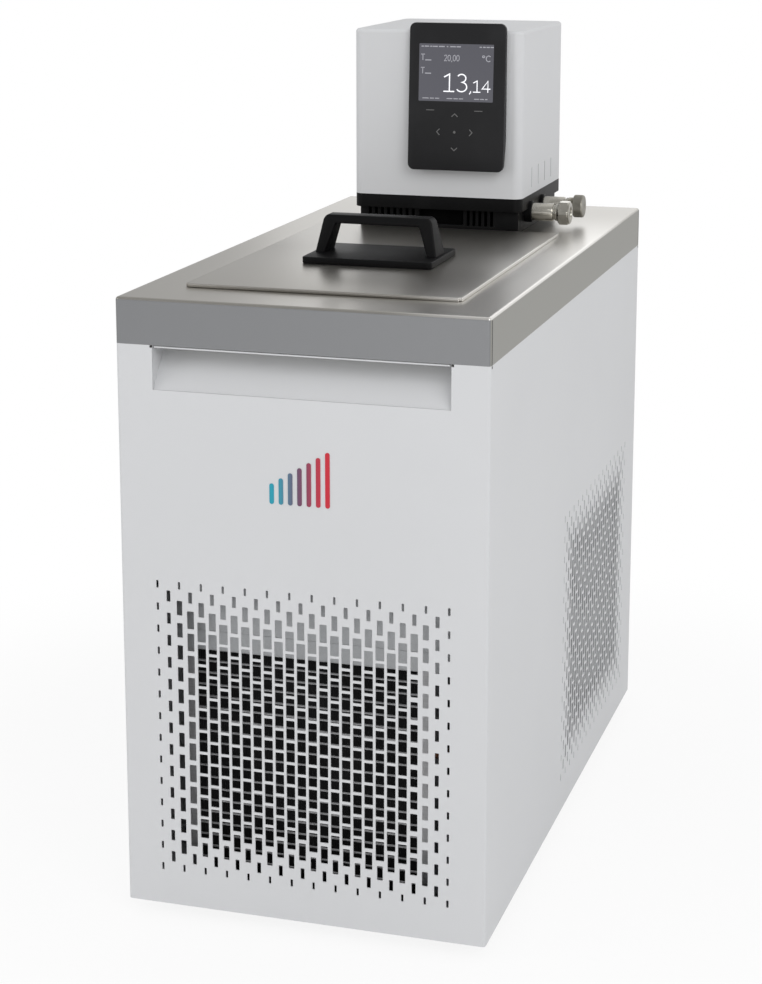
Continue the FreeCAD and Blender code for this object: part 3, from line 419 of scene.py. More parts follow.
@dataclass(frozen=True)
class MouldedPlastic(Finish):
    """Moulded plastic with a fine spark grain."""

    grain: float = 1800.0
    depth: float = 0.00008

    def surface(self, graph: Graph) -> dict:
        """Grain bumps and slightly shiny patches."""
        spot = graph.place()
        spark = graph.noise(spot, self.grain, detail=2.0, roughness=0.7)
        cloud = graph.noise(spot, scale=30.0, detail=3.0)
        lit = self.shade(1.35, lift=0.004)
        return {"Base Color": graph.mixed(cloud.rise(0.45, 0.8) * 0.5, self.colour, lit),
                "Roughness": self.roughness + 0.12 * (cloud - 0.5) + 0.06 * (spark - 0.5),
                "Normal": graph.bump(spark, strength=0.4, distance=self.depth)}


@dataclass(frozen=True)
class PlatedMetal(Finish):
    """Turned and plated metal with soft clouds and fine pits."""

    def surface(self, graph: Graph) -> dict:
        """Soft clouds in tone and gloss and a little pitting."""
        spot = graph.place()
        cloud = graph.noise(spot, scale=90.0, detail=3.0)
        fine = graph.noise(spot, scale=1400.0)
        return {"Base Color": graph.mixed(cloud.rise(0.35, 0.7), self.colour, self.shade(0.8)),
                "Roughness": self.roughness + 0.14 * (cloud - 0.5) + 0.05 * fine,
                "Normal": graph.bump(fine, strength=0.2, distance=0.00003)}


@dataclass(frozen=True)
class FinPack(Finish):
    """The dark face of a fin pack: thin upright fins close together, with painted shade in the gaps between
    them.
    """

    pitch: float = 0.0016
    gap_shade: float = 0.35
    dust_share: float = 0.65

    def surface(self, graph: Graph) -> dict:
        """Upright fins with painted shade in the gaps between them, dusted unevenly."""
        spot = graph.place()
        fins = (graph.part(spot, Axis.X) * (2 * math.pi / self.pitch)).wave() * 0.5 + 0.5
        dust = graph.noise(spot, scale=24.0, detail=4.0, roughness=0.6)
        # The fins' wave lightens their edges and leaves painted shade in the gaps between them; the dust is
        # lighter at random.
        share = (fins * self.gap_shade + self.dust_share * dust.rise(0.45, 0.8)) * 0.6
        return {"Base Color": graph.mixed(share, self.colour, self.shade(4.0, lift=0.012)),
                "Normal": graph.bump(fins, strength=0.8, distance=0.0004)}


@dataclass(frozen=True)
class ClosedFoam(Finish):
    """Closed-cell foam."""

    def surface(self, graph: Graph) -> dict:
        """Small cells."""
        cells = graph.value("ShaderNodeTexVoronoi", {"feature": "F1"},
                            {"Vector": graph.place(), "Scale": 420.0, "Randomness": 0.9})
        return {"Base Color": graph.mixed(cells.rise(0.1, 0.7), self.colour, self.shade(1.1)),
                "Normal": graph.bump(cells, strength=0.6, distance=0.0005)}


@dataclass(frozen=True)
class LitScreen(Finish):
    """A backlit screen under glass, its middle at a height in metres of the frame."""

    glow: float = 0.75
    middle: float = 0.68
    glass: Colour = (0.01, 0.01, 0.012, 1.0)

    def surface(self, graph: Graph) -> dict:
        """A dim even glow, slightly brighter towards the lower left."""
        spot = graph.place()
        across = graph.part(spot, Axis.X)
        height = graph.part(spot, Axis.Z)
        share = ((across * -6.0) + (self.middle - height) * 4.0 + 0.3).clamped()
        return {"Emission Color": graph.mixed(share, self.colour, self.shade(1.18)),
                "Emission Strength": self.glow, "Base Color": self.glass,
                "Roughness": 0.22 + 0.05 * graph.noise(spot, scale=60.0)}


@dataclass(frozen=True)
class Mark(Finish):
    """A printed or lit mark, or the dark of a narrow gap."""

    glow: float = 0.0

    def surface(self, graph: Graph) -> dict:
        """A thin even print, lit from behind where it glows."""
        cloud = graph.noise(graph.place(), scale=800.0)
        tone = graph.mixed(cloud.rise(0.3, 0.8), self.colour, self.shade(0.88))
        made = {"Base Color": tone}
        if self.glow:
            made.update({"Emission Color": tone, "Emission Strength": self.glow})
        return made


@dataclass(frozen=True)
class WarmthScale(Finish):
    """Print that runs from cold to warm colours across the front, within its reach in metres."""

    warm: Colour = linear(196, 26, 48)
    middle: Colour = linear(104, 62, 92)
    reach: float = 0.025

    def surface(self, graph: Graph) -> dict:
        """A gradient along X."""
        across = graph.part(graph.place(), Axis.X)
        share = (across / (2 * self.reach) + 0.5).clamped()
        cold = graph.mixed(share.rise(0.05, 0.55), self.colour, self.middle)
        return {"Base Color": graph.mixed(share.rise(0.45, 0.95), cold, self.warm)}


HOUSING = PowderCoat("powder_coat_white", "housing_white", linear(209, 210, 212), 0.46)
HEAD = PowderCoat("head_paint_white", "head_white", linear(213, 214, 216), 0.55, gloss=0.25,
                  grain=2200.0, depth=0.00003)
STEEL = linear(176, 173, 167)
DECK_TOP = DeckSteel("deck_steel", "stainless", STEEL, 0.31, 1.0, line=0.035, cloudy=0.03)
TANK = BrushedMetal("tank_steel", "stainless", STEEL, 0.25, 1.0, along=Axis.Z)
ZINC = BrushedMetal("zinc_sheet", "sheet_steel", linear(190, 192, 194), 0.42, 1.0, line=0.08, cloudy=0.25)
FLAT_TUBE = BrushedMetal("flat_tube", "aluminium", linear(196, 196, 198), 0.45, 1.0, along=Axis.X)
FINS = FinPack("fin_pack", "black_enamel", linear(7, 7, 8), 0.7, gloss=0.15)
BLACK = MouldedPlastic("black_plastic", "black_plastic", linear(12, 12, 13), 0.46, gloss=0.13)
# Painted shade: a near-black, matt finish for the plates at the back of the bridge's slots.
SLOT_SHADE = MouldedPlastic("slot_painted_shade", "black_plastic", linear(7, 7, 7), 0.9, gloss=0.02)
PANEL = MouldedPlastic("panel_black", "panel_black", linear(28, 28, 30), 0.42, gloss=0.26,
                       grain=2600.0, depth=0.00002)
RUBBER = MouldedPlastic("rubber", "rubber", linear(36, 36, 36), 0.8, grain=900.0)
BOARD = MouldedPlastic("board_green", "board_green", linear(40, 104, 60), 0.4)
FLOAT = MouldedPlastic("float_white", "float_white", linear(232, 232, 226), 0.5)
NICKEL = PlatedMetal("nickel", "nickel", linear(190, 187, 178), 0.2, 1.0)
DULL_NICKEL = PlatedMetal("dull_nickel", "nickel", linear(164, 161, 152), 0.38, 1.0)
COPPER = PlatedMetal("copper", "copper", linear(112, 78, 62), 0.45, 1.0)
ENAMEL = PowderCoat("black_enamel", "black_enamel", linear(38, 38, 39), 0.35, grain=700.0)
MOTOR = PowderCoat("motor_paint", "motor", linear(96, 99, 104), 0.45, grain=500.0)
FOAM = ClosedFoam("foam", "foam", linear(214, 208, 190), 0.9)
SCREEN = LitScreen("screen", "screen", linear(92, 92, 100), 0.2)
WHITE_MARK = Mark("white_mark", "screen", linear(214, 215, 219), 0.6, glow=0.9)
DIM_MARK = Mark("dim_mark", "screen", linear(132, 132, 138), 0.6, glow=0.85)
GREY_MARK = Mark("grey_mark", "panel_black", linear(104, 104, 104), 0.6)
SHADOW_GAP = Mark("seam_dark", "stainless", linear(58, 57, 55), 0.7)
SCALE = WarmthScale("warmth_scale", "housing_white", linear(18, 150, 172), 0.35)


# Mesh tools


@dataclass
class Shape:
    """Points and faces of one piece, in the object's millimetres."""

    points: list[Point] = field(default_factory=list)
    faces: list[Face] = field(default_factory=list)

    def add(self, points: list[Point], faces: list[Face]) -> None:
        """Adds points, and faces that count from the first of them."""
        start = len(self.points)
        self.points.extend(points)
        self.faces.extend(tuple(number + start for number in face) for face in faces)

    def piece(self, name: str, finish: Finish, smooth: float = 30.0, bevel: float = 0.0,
              segments: int = 3) -> bpy.types.Object:
        """Makes the piece and hangs it on the housing.

        Args:
            name: The piece's name.
            finish: Its finish.
            smooth: Edges flatter than this angle, in degrees, are shaded smooth.
            bevel: Width of the rounding on sharp edges, in millimetres.
            segments: Steps of the rounding.

        Returns:
            The piece.
        """
        limit = math.radians(smooth)
        mesh = bpy.data.meshes.new(name)
        mesh.from_pydata([place(*point) for point in self.points], [], self.faces)
        made = bmesh.new()
        made.from_mesh(mesh)
        bmesh.ops.remove_doubles(made, verts=made.verts, dist=1e-7)
        bmesh.ops.recalc_face_normals(made, faces=made.faces)
        if bevel:
            sharp = [edge for edge in made.edges if edge.is_manifold and edge.calc_face_angle(0.0) > limit]
            bmesh.ops.bevel(made, geom=sharp, offset=bevel * MILLIMETRE, segments=segments, profile=0.5,
                            affect="EDGES", clamp_overlap=True)
        made.to_mesh(mesh)
        made.free()
        mesh.shade_smooth()
        mesh.set_sharp_from_angle(angle=limit)
        mesh.materials.append(finish.material())
        thing = bpy.data.objects.new(name, mesh)
        bpy.context.scene.collection.objects.link(thing)
        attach(thing, HOUSING_BODY)
        log.info("%s: %d faces", name, len(mesh.polygons))
        return thing


class Ends(Enum):
    """What closes the first and the last ring of a body."""

    CAPPED = "capped"
    JOINED = "joined"


def ring_faces(rings: int, steps: int, ends: Ends = Ends.CAPPED) -> list[Face]:
    """Faces between rings of points.

    Args:
        rings: How many rings.
        steps: Points in each ring.
        ends: Whether the first and last rings are capped, or joined to each other.

    Returns:
        The faces.
    """
    faces = []
    for ring in range(rings if ends is Ends.JOINED else rings - 1):
        start, after = ring * steps, (ring + 1) % rings * steps
        for step in range(steps):
            onward = (step + 1) % steps
            faces.append((start + step, start + onward, after + onward, after + step))
    if ends is Ends.CAPPED:
        faces.append(tuple(reversed(range(steps))))
        faces.append(tuple(range((rings - 1) * steps, rings * steps)))
    return faces


def on_axis(centre: Point, axis: Axis, length: float, first: float, second: float) -> Point:
    """A point beside an axis.

    Args:
        centre: The axis' start.
        axis: Its direction.
        length: How far along it.
        first: How far aside, along the next axis.
        second: How far aside, along the one after.

    Returns:
        The point.
    """
    offset = [0.0, 0.0, 0.0]
    offset[axis.value] = length
    offset[(axis.value + 1) % 3] = first
    offset[(axis.value + 2) % 3] = second
    return (centre[0] + offset[0], centre[1] + offset[1], centre[2] + offset[2])


def turned(shape: Shape, centre: Point, axis: Axis, profile: Line, steps: int) -> None:
    """Adds a turned body.

    Args:
        shape: What it is added to.
        centre: Where the profile's length starts.
        axis: The axis that it is turned about.
        profile: (length, radius) points from one end to the other.
        steps: Points round each ring.
    """
    points = []
    for length, radius in profile:
        for step in range(steps):
            angle = 2 * math.pi * step / steps
            points.append(on_axis(centre, axis, length, radius * math.cos(angle), radius * math.sin(angle)))
    shape.add(points, ring_faces(len(profile), steps))


def rectangle(x0: float, x1: float, z0: float, z1: float) -> Line:
    """The corners of a rectangle, counter-clockwise."""
    return [(x0, z0), (x1, z0), (x1, z1), (x0, z1)]


def rounded_outline(x0: float, x1: float, z0: float, z1: float, radius: float, steps: int) -> Line:
    """A rectangle with round corners, counter-clockwise.

    Args:
        x0: Left.
        x1: Right.
        z0: Bottom.
        z1: Top.
        radius: Corner radius.
        steps: Steps of each corner.

    Returns:
        The outline's points.
    """
    corners = ((x1 - radius, z0 + radius, -90), (x1 - radius, z1 - radius, 0),
               (x0 + radius, z1 - radius, 90), (x0 + radius, z0 + radius, 180))
    outline = []
    for x, z, start in corners:
        for step in range(steps + 1):
            angle = math.radians(start + 90 * step / steps)
            outline.append((x + radius * math.cos(angle), z + radius * math.sin(angle)))
    return outline


def prism(shape: Shape, near: list[Point], far: list[Point]) -> None:
    """Adds a solid between two outlines of as many points."""
    shape.add(near + far, ring_faces(2, len(near)))


def block(shape: Shape, first: Point, last: Point) -> None:
    """Adds a box between two opposite corners."""
    corners = rectangle(first[0], last[0], first[2], last[2])
    prism(shape, [(x, first[1], z) for x, z in corners], [(x, last[1], z) for x, z in corners])


# The folded sheet panels


@dataclass
class GradedGrille:
    """Staggered slots that shrink in rings towards the border."""

    columns: int
    middle: float
    rows: int = 14
    pitch_across: float = 9.0
    pitch_down: float = 18.0
    top: float = 277.5
    corner: float = 0.55
    sizes: tuple[tuple[float, float], ...] = ((2.0, 6.1), (3.3, 9.0), (4.7, 11.8), (5.8, 14.4), (7.0, 16.0))

    def slots(self) -> list[Line]:
        """The outlines of all slots.

        Returns:
            Outlines of (across, height) points.
        """
        ranks = 2 * self.rows - 1
        outlines = []
        for column in range(self.columns):
            for row in range(self.rows - column % 2):
                rank = 2 * row + column % 2
                ring = min(column, self.columns - 1 - column, rank, ranks - 1 - rank, len(self.sizes) - 1)
                wide, high = self.sizes[ring]
                across = self.middle + (column - (self.columns - 1) / 2) * self.pitch_across
                level = self.top - rank * self.pitch_down / 2
                outlines.append(rounded_outline(across - wide / 2, across + wide / 2, level - high / 2,
                                                level + high / 2, self.corner, 2))
        return outlines


class SheetPlace:
    """Where the points of a flat sheet go on the object."""

    def at(self, across: float, inward: float, height: float) -> Point:
        """The place of a point of the sheet.

        Args:
            across: Along the unfolded width.
            inward: Depth in the sheet.
            height: Height.

        Returns:
            The point.
        """
        raise NotImplementedError


@dataclass
class RoundFold(SheetPlace):
    """The front panel's cross-section: a flat face and a round fold at both sides."""

    half: float = HALF_WIDTH
    radius: float = 2.5
    edge: float = 3.0
    margin: float = 1.0
    steps: int = 6

    def arc(self) -> float:
        """Length of a fold's outer arc."""
        return self.radius * math.pi / 2

    def reach(self) -> float:
        """Half the width of the sheet before it is folded."""
        return self.half - self.radius + self.arc() + self.edge - self.radius

    def creases(self) -> list[float]:
        """Lines that divide the folds."""
        flat = self.half - self.radius
        lines = [flat - self.margin]
        lines += [flat + self.arc() * step / self.steps for step in range(self.steps + 1)]
        return lines + [-line for line in lines]

    def at(self, across: float, inward: float, height: float) -> Point:
        """The place of a point of the sheet: flat, in a fold, or beyond it.

        Args:
            across: Along the unfolded width.
            inward: Depth in the sheet.
            height: Height.

        Returns:
            The point.
        """
        flat = self.half - self.radius
        side = math.copysign(1.0, across)
        beyond = abs(across) - flat
        if beyond <= 0:
            return (across, inward, height)
        if beyond <= self.arc():
            angle = beyond / self.radius
            return (side * (flat + (self.radius - inward) * math.sin(angle)),
                    self.radius - (self.radius - inward) * math.cos(angle), height)
        return (side * (self.half - inward), self.radius + beyond - self.arc(), height)


@dataclass
class SidePlace(SheetPlace):
    """A flat sheet that faces a side."""

    side: int
    half: float

    def at(self, across: float, inward: float, height: float) -> Point:
        """The place of a point of the sheet: across runs backwards."""
        return (self.side * (self.half - inward), across, height)


@dataclass
class FrontPlace(SheetPlace):
    """A flat sheet that faces the front."""

    front: float

    def at(self, across: float, inward: float, height: float) -> Point:
        """The place of a point of the sheet."""
        return (across, self.front + inward, height)


@dataclass
class Cut:
    """An opening in a sheet and the box round it."""

    outline: Line
    low: tuple[float, ...] = field(init=False)
    high: tuple[float, ...] = field(init=False)

    def __post_init__(self) -> None:
        """Works out the box."""
        self.low = tuple(min(values) for values in zip(*self.outline))
        self.high = tuple(max(values) for values in zip(*self.outline))

    def holds(self, point: Vector) -> bool:
        """Whether a point of the sheet lies in the opening."""
        boxed = self.low[0] < point.x < self.high[0] and self.low[1] < point.y < self.high[1]
        return boxed and inside(point, self.outline)


@dataclass
class Blank:
    """A flat sheet with openings, before it is folded."""

    outline: Line
    openings: list[Line]
    thickness: float
    creases: list[float] = field(default_factory=list)

    def flat(self) -> tuple[Line, list[Face]]:
        """Divides the sheet around its openings.

        Returns:
            Points and triangles of the flat sheet.
        """
        points, edges = [], []
        for line in (self.outline, *self.openings):
            start, count = len(points), len(line)
            points.extend(Vector(point) for point in line)
            edges.extend((start + number, start + (number + 1) % count) for number in range(count))
        low = min(height for _, height in self.outline)
        high = max(height for _, height in self.outline)
        for crease in self.creases:
            edges.append((len(points), len(points) + 1))
            points.extend((Vector((crease, low)), Vector((crease, high))))
        spots, _, triangles, *_ = delaunay_2d_cdt(points, edges, [], 0, 1e-5)
        cuts = [Cut(line) for line in self.openings]
        kept = []
        for triangle in triangles:
            middle = sum((spots[number] for number in triangle), Vector((0.0, 0.0))) / 3
            if inside(middle, self.outline) and not any(cut.holds(middle) for cut in cuts):
                kept.append(tuple(triangle))
        return [(spot.x, spot.y) for spot in spots], kept

    def folded(self, fold: SheetPlace) -> Shape:
        """The sheet with its thickness, put in place.

        Args:
            fold: Gives the place of each point of the sheet.

        Returns:
            The closed shape.
        """
        points, triangles = self.flat()
        used = sorted({number for triangle in triangles for number in triangle})
        order = {number: rank for rank, number in enumerate(used)}
        count = len(used)
        spots = [fold.at(points[number][0], inward, points[number][1])
                 for inward in (0.0, self.thickness) for number in used]
        front = [tuple(order[number] for number in triangle) for triangle in triangles]
        back = [tuple(number + count for number in reversed(triangle)) for triangle in front]
        ways = {pair for triangle in front for pair in zip(triangle, triangle[1:] + triangle[:1])}
        border = [(second, first, first + count, second + count)
                  for first, second in sorted(ways) if (second, first) not in ways]
        shape = Shape()
        shape.add(spots, front + back + border)
        return shape


def inside(point: Vector, outline: Line) -> bool:
    """Whether a point lies inside a closed outline.

    Args:
        point: The point.
        outline: The outline.

    Returns:
        True inside.
    """
    crossed = False
    for (x0, z0), (x1, z1) in zip(outline, outline[1:] + outline[:1]):
        if (z0 > point.y) != (z1 > point.y) and point.x < x0 + (point.y - z0) * (x1 - x0) / (z1 - z0):
            crossed = not crossed
    return crossed


@dataclass
class Housing:
    """The white sheet housing with its grilles, the deck's dark seams and the bars on the front."""

    low: float = 12.0
    high: float = 466.0
    depth: float = DEPTH
    front_thickness: float = 1.0
    side_thickness: float = 0.8
    notch_half: float = 117.5
    notch_low: float = 431.5
    relief: float = 2.0
    relief_half: float = 0.9
    seam_setback: float = 2.6
    seam_low: float = 466.3
    seam_high: float = 499.6
    seam_width: float = 1.8
    gap_width: float = 2.6
    gap_low: float = 463.6
    gap_high: float = 465.6
    seam_proud: float = 0.04
    seam_sunk: float = 0.3
    lip_gap: float = 1.5
    lip_depth: float = 2.4
    lip_low: float = 464.0
    lip_high: float = 465.4
    bars: int = 7
    bar_pitch: float = 7.4
    bar_width: float = 3.6
    bar_low: float = 349.5
    bar_shortest: float = 16.0
    bar_step: float = 4.5
    bar_proud: float = 0.35
    fold: RoundFold = field(default_factory=RoundFold)
    front_grille: GradedGrille = field(default_factory=lambda: GradedGrille(27, 0.0))
    side_grille: GradedGrille = field(default_factory=lambda: GradedGrille(31, 401.0))

    def front(self) -> None:
        """The front panel with the graded grille and the notch of the grip recess."""
        reach, wide, top = self.fold.reach(), self.notch_half, self.high
        outer, eased = wide + self.relief, top - self.relief
        outline = [(-reach, self.low), (reach, self.low), (reach, top), (outer, top), (outer, eased),
                   (wide, eased), (wide, self.notch_low), (-wide, self.notch_low), (-wide, eased),
                   (-outer, eased), (-outer, top), (-reach, top)]
        blank = Blank(outline, self.front_grille.slots(), self.front_thickness, self.fold.creases())
        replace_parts(blank.folded(self.fold).piece("front_sheet", HOUSING), "front_panel")

    def sides(self) -> None:
        """Both side panels with their grilles."""
        outline = rectangle(self.fold.edge, self.depth - self.fold.edge, self.low, self.high)
        for side, name in ((1, "right"), (-1, "left")):
            blank = Blank(outline, self.side_grille.slots(), self.side_thickness)
            shape = blank.folded(SidePlace(side, self.fold.half))
            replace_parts(shape.piece(f"side_sheet_{name}", HOUSING), f"side_panel_{name}")

    def seams(self) -> None:
        """The dark seams at the deck's corners, the gaps below them, and dark blocks behind the reliefs of
        the notch that are painted shade.
        """
        shape = Shape()
        strips = ((self.seam_low, self.seam_high, self.seam_width),
                  (self.gap_low, self.gap_high, self.gap_width))
        for side in (-1, 1):
            near, far = (side * (self.fold.half + reach) for reach in (self.seam_proud, -self.seam_sunk))
            for corner, back in ((self.seam_setback, 1), (self.depth - self.seam_setback, -1)):
                for low, high, wide in strips:
                    block(shape, (near, corner, low), (far, corner + wide * back, high))
            # A dark block behind each relief of the notch: painted shade seen through the cut.
            x = side * (self.notch_half + self.relief / 2)
            block(shape, (x - self.relief_half, self.front_thickness + 0.05, self.high - 1.9),
                  (x + self.relief_half, self.front_thickness + 0.45, self.high - 0.1))
        shape.piece("deck_seams", SHADOW_GAP)

    def lip(self) -> None:
        """The thin folded edge at the top of the grip recess."""
        shape = Shape()
        half = self.notch_half - self.lip_gap
        block(shape, (-half, self.front_thickness, self.lip_low),
              (half, self.front_thickness + self.lip_depth, self.lip_high))
        shape.piece("grip_lip", HOUSING, bevel=0.3)

    def scale_bars(self) -> None:
        """A row of upright bars from cold to warm, raised a little from the front."""
        shape = Shape()
        half = self.bar_width / 2
        for number in range(self.bars):
            x = (number - (self.bars - 1) / 2) * self.bar_pitch
            tall = self.bar_shortest + self.bar_step * number
            outline = rounded_outline(x - half, x + half, self.bar_low, self.bar_low + tall, half - 0.1, 6)
            prism(shape, [(across, -self.bar_proud, height) for across, height in outline],
                  [(across, 0.1, height) for across, height in outline])
        shape.piece("scale_bars", SCALE)

    def build(self) -> None:
        """Builds the housing."""
        self.front()
        self.sides()
        self.seams()
        self.lip()
        self.scale_bars()


@dataclass
class Bridge:
    """The black moulding between the deck and the head, with slots in its front that near-black plates close
    as painted shade.
    """

    half: float = BRIDGE_HALF
    front: float = HEAD_FRONT
    rear: float = 543.0
    low: float = 502.0
    flange: float = 522.0
    high: float = 534.0
    foot_half: float = 73.5
    foot_front: float = 387.5
    foot_rear: float = 539.0
    wall: float = 3.0
    corner: float = 8.0
    foot_corner: float = 3.0
    inner_corner: float = 2.0
    slot_depth: float = 6.0
    slot: float = 2.8
    slot_gap: float = 0.6
    left_slots: tuple[float, float, float, int] = (-64.4, 5.8, 513.7, 8)
    right_slots: tuple[float, float, float, int] = (27.5, 5.4, 507.5, 5)
    recess: tuple[float, float, float] = (-18.0, 23.0, 508.0)
    # How deep the plates of painted shade stand in the slots.
    shade_start: float = 5.2
    shade_end: float = 5.9

    def slots(self) -> list[Line]:
        """Outlines of the slots and of the wide recess between them."""
        top = self.flange - self.slot_gap
        cuts = []
        for first, pitch, low, count in (self.left_slots, self.right_slots):
            for x in (first + pitch * number for number in range(count)):
                cuts.append(rounded_outline(x - self.slot / 2, x + self.slot / 2, low, top, 0.5, 2))
        left, right, low = self.recess
        return cuts + [rounded_outline(left, right, low, top, 0.8, 2)]

    def frame(self, shape: Shape, half: float, front: float, rear: float, levels: tuple[float, float],
              corner: float) -> None:
        """Adds four walls.

        Args:
            shape: What they are added to.
            half: Half their width.
            front: Where the front wall stands.
            rear: Where the rear wall stands.
            levels: Their lower and upper edges.
            corner: Their outer corner radius.
        """
        outer = rounded_outline(-half, half, front, rear, corner, 6)
        inner = rounded_outline(self.wall - self.foot_half, self.foot_half - self.wall,
                                max(front, self.foot_front) + self.wall, self.foot_rear - self.wall,
                                self.inner_corner, 6)
        low, high = levels
        points = [(x, y, z) for outline, z in ((outer, low), (outer, high), (inner, high), (inner, low))
                  for x, y in outline]
        shape.add(points, ring_faces(4, len(outer), Ends.JOINED))

    def build(self) -> None:
        """The slotted front, the walls behind it, the flange that carries the head, and near-black plates in
        the slots that are painted shade.
        """
        outline = rectangle(-self.foot_half, self.foot_half, self.low, self.flange)
        face = Blank(outline, self.slots(), self.slot_depth).folded(FrontPlace(self.foot_front))
        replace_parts(face.piece("bridge_front", BLACK, bevel=0.2, segments=2), "head_bridge")
        walls = Shape()
        self.frame(walls, self.foot_half, self.foot_front + self.slot_depth - 0.1, self.foot_rear,
                   (self.low, self.flange), self.foot_corner)
        self.frame(walls, self.half, self.front, self.rear, (self.flange, self.high), self.corner)
        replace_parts(walls.piece("bridge_walls", BLACK, bevel=0.5), "head_bridge")
        # Near-black plates at the back of the slots and the recess: painted shade where the slots lead into
        # the dark inside.
        shade_plates = Shape()
        start, end = self.foot_front + self.shade_start, self.foot_front + self.shade_end
        for cut in self.slots():
            prism(shade_plates, [(x, start, z) for x, z in cut], [(x, end, z) for x, z in cut])
        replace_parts(shade_plates.piece("slot_shade_plates", SLOT_SHADE), "head_bridge")


@dataclass
class Condenser:
    """The flat-tube condenser behind the grille and the edge of the baffle above it."""

    left: float = -95.0
    right: float = 86.5
    front: float = 25.0
    depth: float = 20.0
    low: float = 24.0
    high: float = 230.0
    tube: float = 2.0
    tubes: int = 20
    tube_proud: float = 0.4
    header: float = 8.0
    header_proud: float = 0.6
    baffle_half: float = 124.0
    baffle_front: float = 20.6
    baffle_rear: float = 21.2
    baffle_low: float = 221.0
    baffle_high: float = 236.0

    def slab(self, shape: Shape, sides: tuple[float, float], levels: tuple[float, float], proud: float,
             softness: float) -> None:
        """Adds a flat body with a rounded front and rear.

        Args:
            shape: What it is added to.
            sides: Its left and right ends.
            levels: Its lower and upper faces.
            proud: How far it stands out of the condenser's front.
            softness: How much its edges are rounded.
        """
        front, rear = self.front - proud, self.front + self.depth
        low, high = levels
        outline = [(front + softness, low), (rear - softness, low), (rear, low + softness),
                   (rear, high - softness), (rear - softness, high), (front + softness, high),
                   (front, high - softness), (front, low + softness)]
        prism(shape, [(sides[0], y, z) for y, z in outline], [(sides[1], y, z) for y, z in outline])

    def build(self) -> None:
        """Tubes with fins between them, headers at both ends, and the baffle's folded edge."""
        pitch = (self.high - self.low - self.tube) / (self.tubes + 1)
        tubes, fins, headers, edge = Shape(), Shape(), Shape(), Shape()
        sides = (self.left, self.right)
        for number in range(self.tubes + 1):
            level = self.low + number * pitch
            self.slab(fins, sides, (level + self.tube, level + pitch), 0.0, 0.3)
            if number:
                self.slab(tubes, sides, (level, level + self.tube), self.tube_proud, 0.7)
        for side in (self.left - self.header, self.right):
            self.slab(headers, (side, side + self.header), (self.low, self.high), self.header_proud, 1.5)
        block(edge, (-self.baffle_half, self.baffle_front, self.baffle_low),
              (self.baffle_half, self.baffle_rear, self.baffle_high))
        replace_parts(tubes.piece("flat_tubes", FLAT_TUBE), "condenser_tubes")
        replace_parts(fins.piece("fin_strips", FINS), "condenser_fins")
        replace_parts(headers.piece("tube_headers", FLAT_TUBE), "condenser_headers")
        edge.piece("baffle_edge", ZINC)


@dataclass
class Lid:
    """The folded steel lid over the bath."""

    half: float = 111.0
    front: float = 53.0
    rear: float = 386.0
    low: float = 502.0
    gap: float = 0.02
    height: float = 3.0
    relief: float = 2.5
    softness: float = 0.7

    def build(self) -> None:
        """The pan, open at both front corners where its sides are folded down."""
        inner, behind = self.half - self.relief, self.front + self.relief
        outline = [(-inner, self.front), (inner, self.front), (inner, behind), (self.half, behind),
                   (self.half, self.rear), (-self.half, self.rear), (-self.half, behind), (-inner, behind)]
        shape = Shape()
        prism(shape, [(x, y, self.low + self.gap) for x, y in outline],
              [(x, y, self.low + self.height) for x, y in outline])
        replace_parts(shape.piece("lid_pan", DECK_TOP, bevel=self.softness), "lid")


@dataclass
class LidHandle:
    """The moulded handle on the lid and the screws that hold it."""

    half: float = 55.0
    front: float = 167.0
    length: float = 78.0
    low: float = 505.0
    plate: float = 5.5
    plate_corner: float = 4.0
    plate_softness: float = 0.9
    rise: float = 36.3
    sunk: float = 1.0
    middle: float = 207.0
    spread: float = 52.0
    foot: float = 8.0
    shoulder: float = 46.3
    crown: float = 43.5
    window: float = 35.5
    bar: float = 7.1
    depth_foot: float = 28.0
    depth_top: float = 15.0
    corner_drop: float = 3.0
    softness: float = 1.5
    screw: float = 2.5
    screw_head: float = 4.6
    screw_length: float = 12.0

    def build(self) -> None:
        """The plate, the arch of the moulding and the screws from below."""
        top = self.low + self.rise
        face = self.low + self.plate
        shape = Shape()
        outline = rounded_outline(-self.half, self.half, self.front, self.front + self.length,
                                  self.plate_corner, 5)
        prism(shape, [(x, y, self.low) for x, y in outline], [(x, y, face) for x, y in outline])
        plate = shape.piece("handle_plate", BLACK, bevel=self.plate_softness)
        arch = Shape()
        foot, shoulder = face - self.sunk, top - self.corner_drop
        profile = [(-self.spread, foot), (-self.shoulder, shoulder), (-self.crown, top), (self.crown, top),
                   (self.shoulder, shoulder), (self.spread, foot), (self.spread - self.foot, foot),
                   (self.window, top - self.bar), (-self.window, top - self.bar),
                   (self.foot - self.spread, foot)]
        near, far = [], []
        for x, z in profile:
            share = (z - face) / (top - face)
            deep = self.depth_foot + (self.depth_top - self.depth_foot) * share
            near.append((x, self.middle - deep / 2, z))
            far.append((x, self.middle + deep / 2, z))
        prism(arch, near, far)
        bow = arch.piece("handle_arch", BLACK, bevel=self.softness, segments=4)
        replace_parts(plate, "lid_handle")
        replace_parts(bow, "lid_handle")
        screws = Shape()
        head, end = self.screw_head, self.screw_length
        for side in (-1, 1):
            turned(screws, (side * (self.spread - self.foot / 2), self.middle, self.low - 2.0), Axis.Z,
                   [(0.0, head - 0.4), (0.4, head), (1.6, head), (1.9, self.screw), (end - 0.6, self.screw),
                    (end, self.screw - 0.6)], 24)
        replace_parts(screws.piece("handle_bolts", NICKEL), "handle_screws")


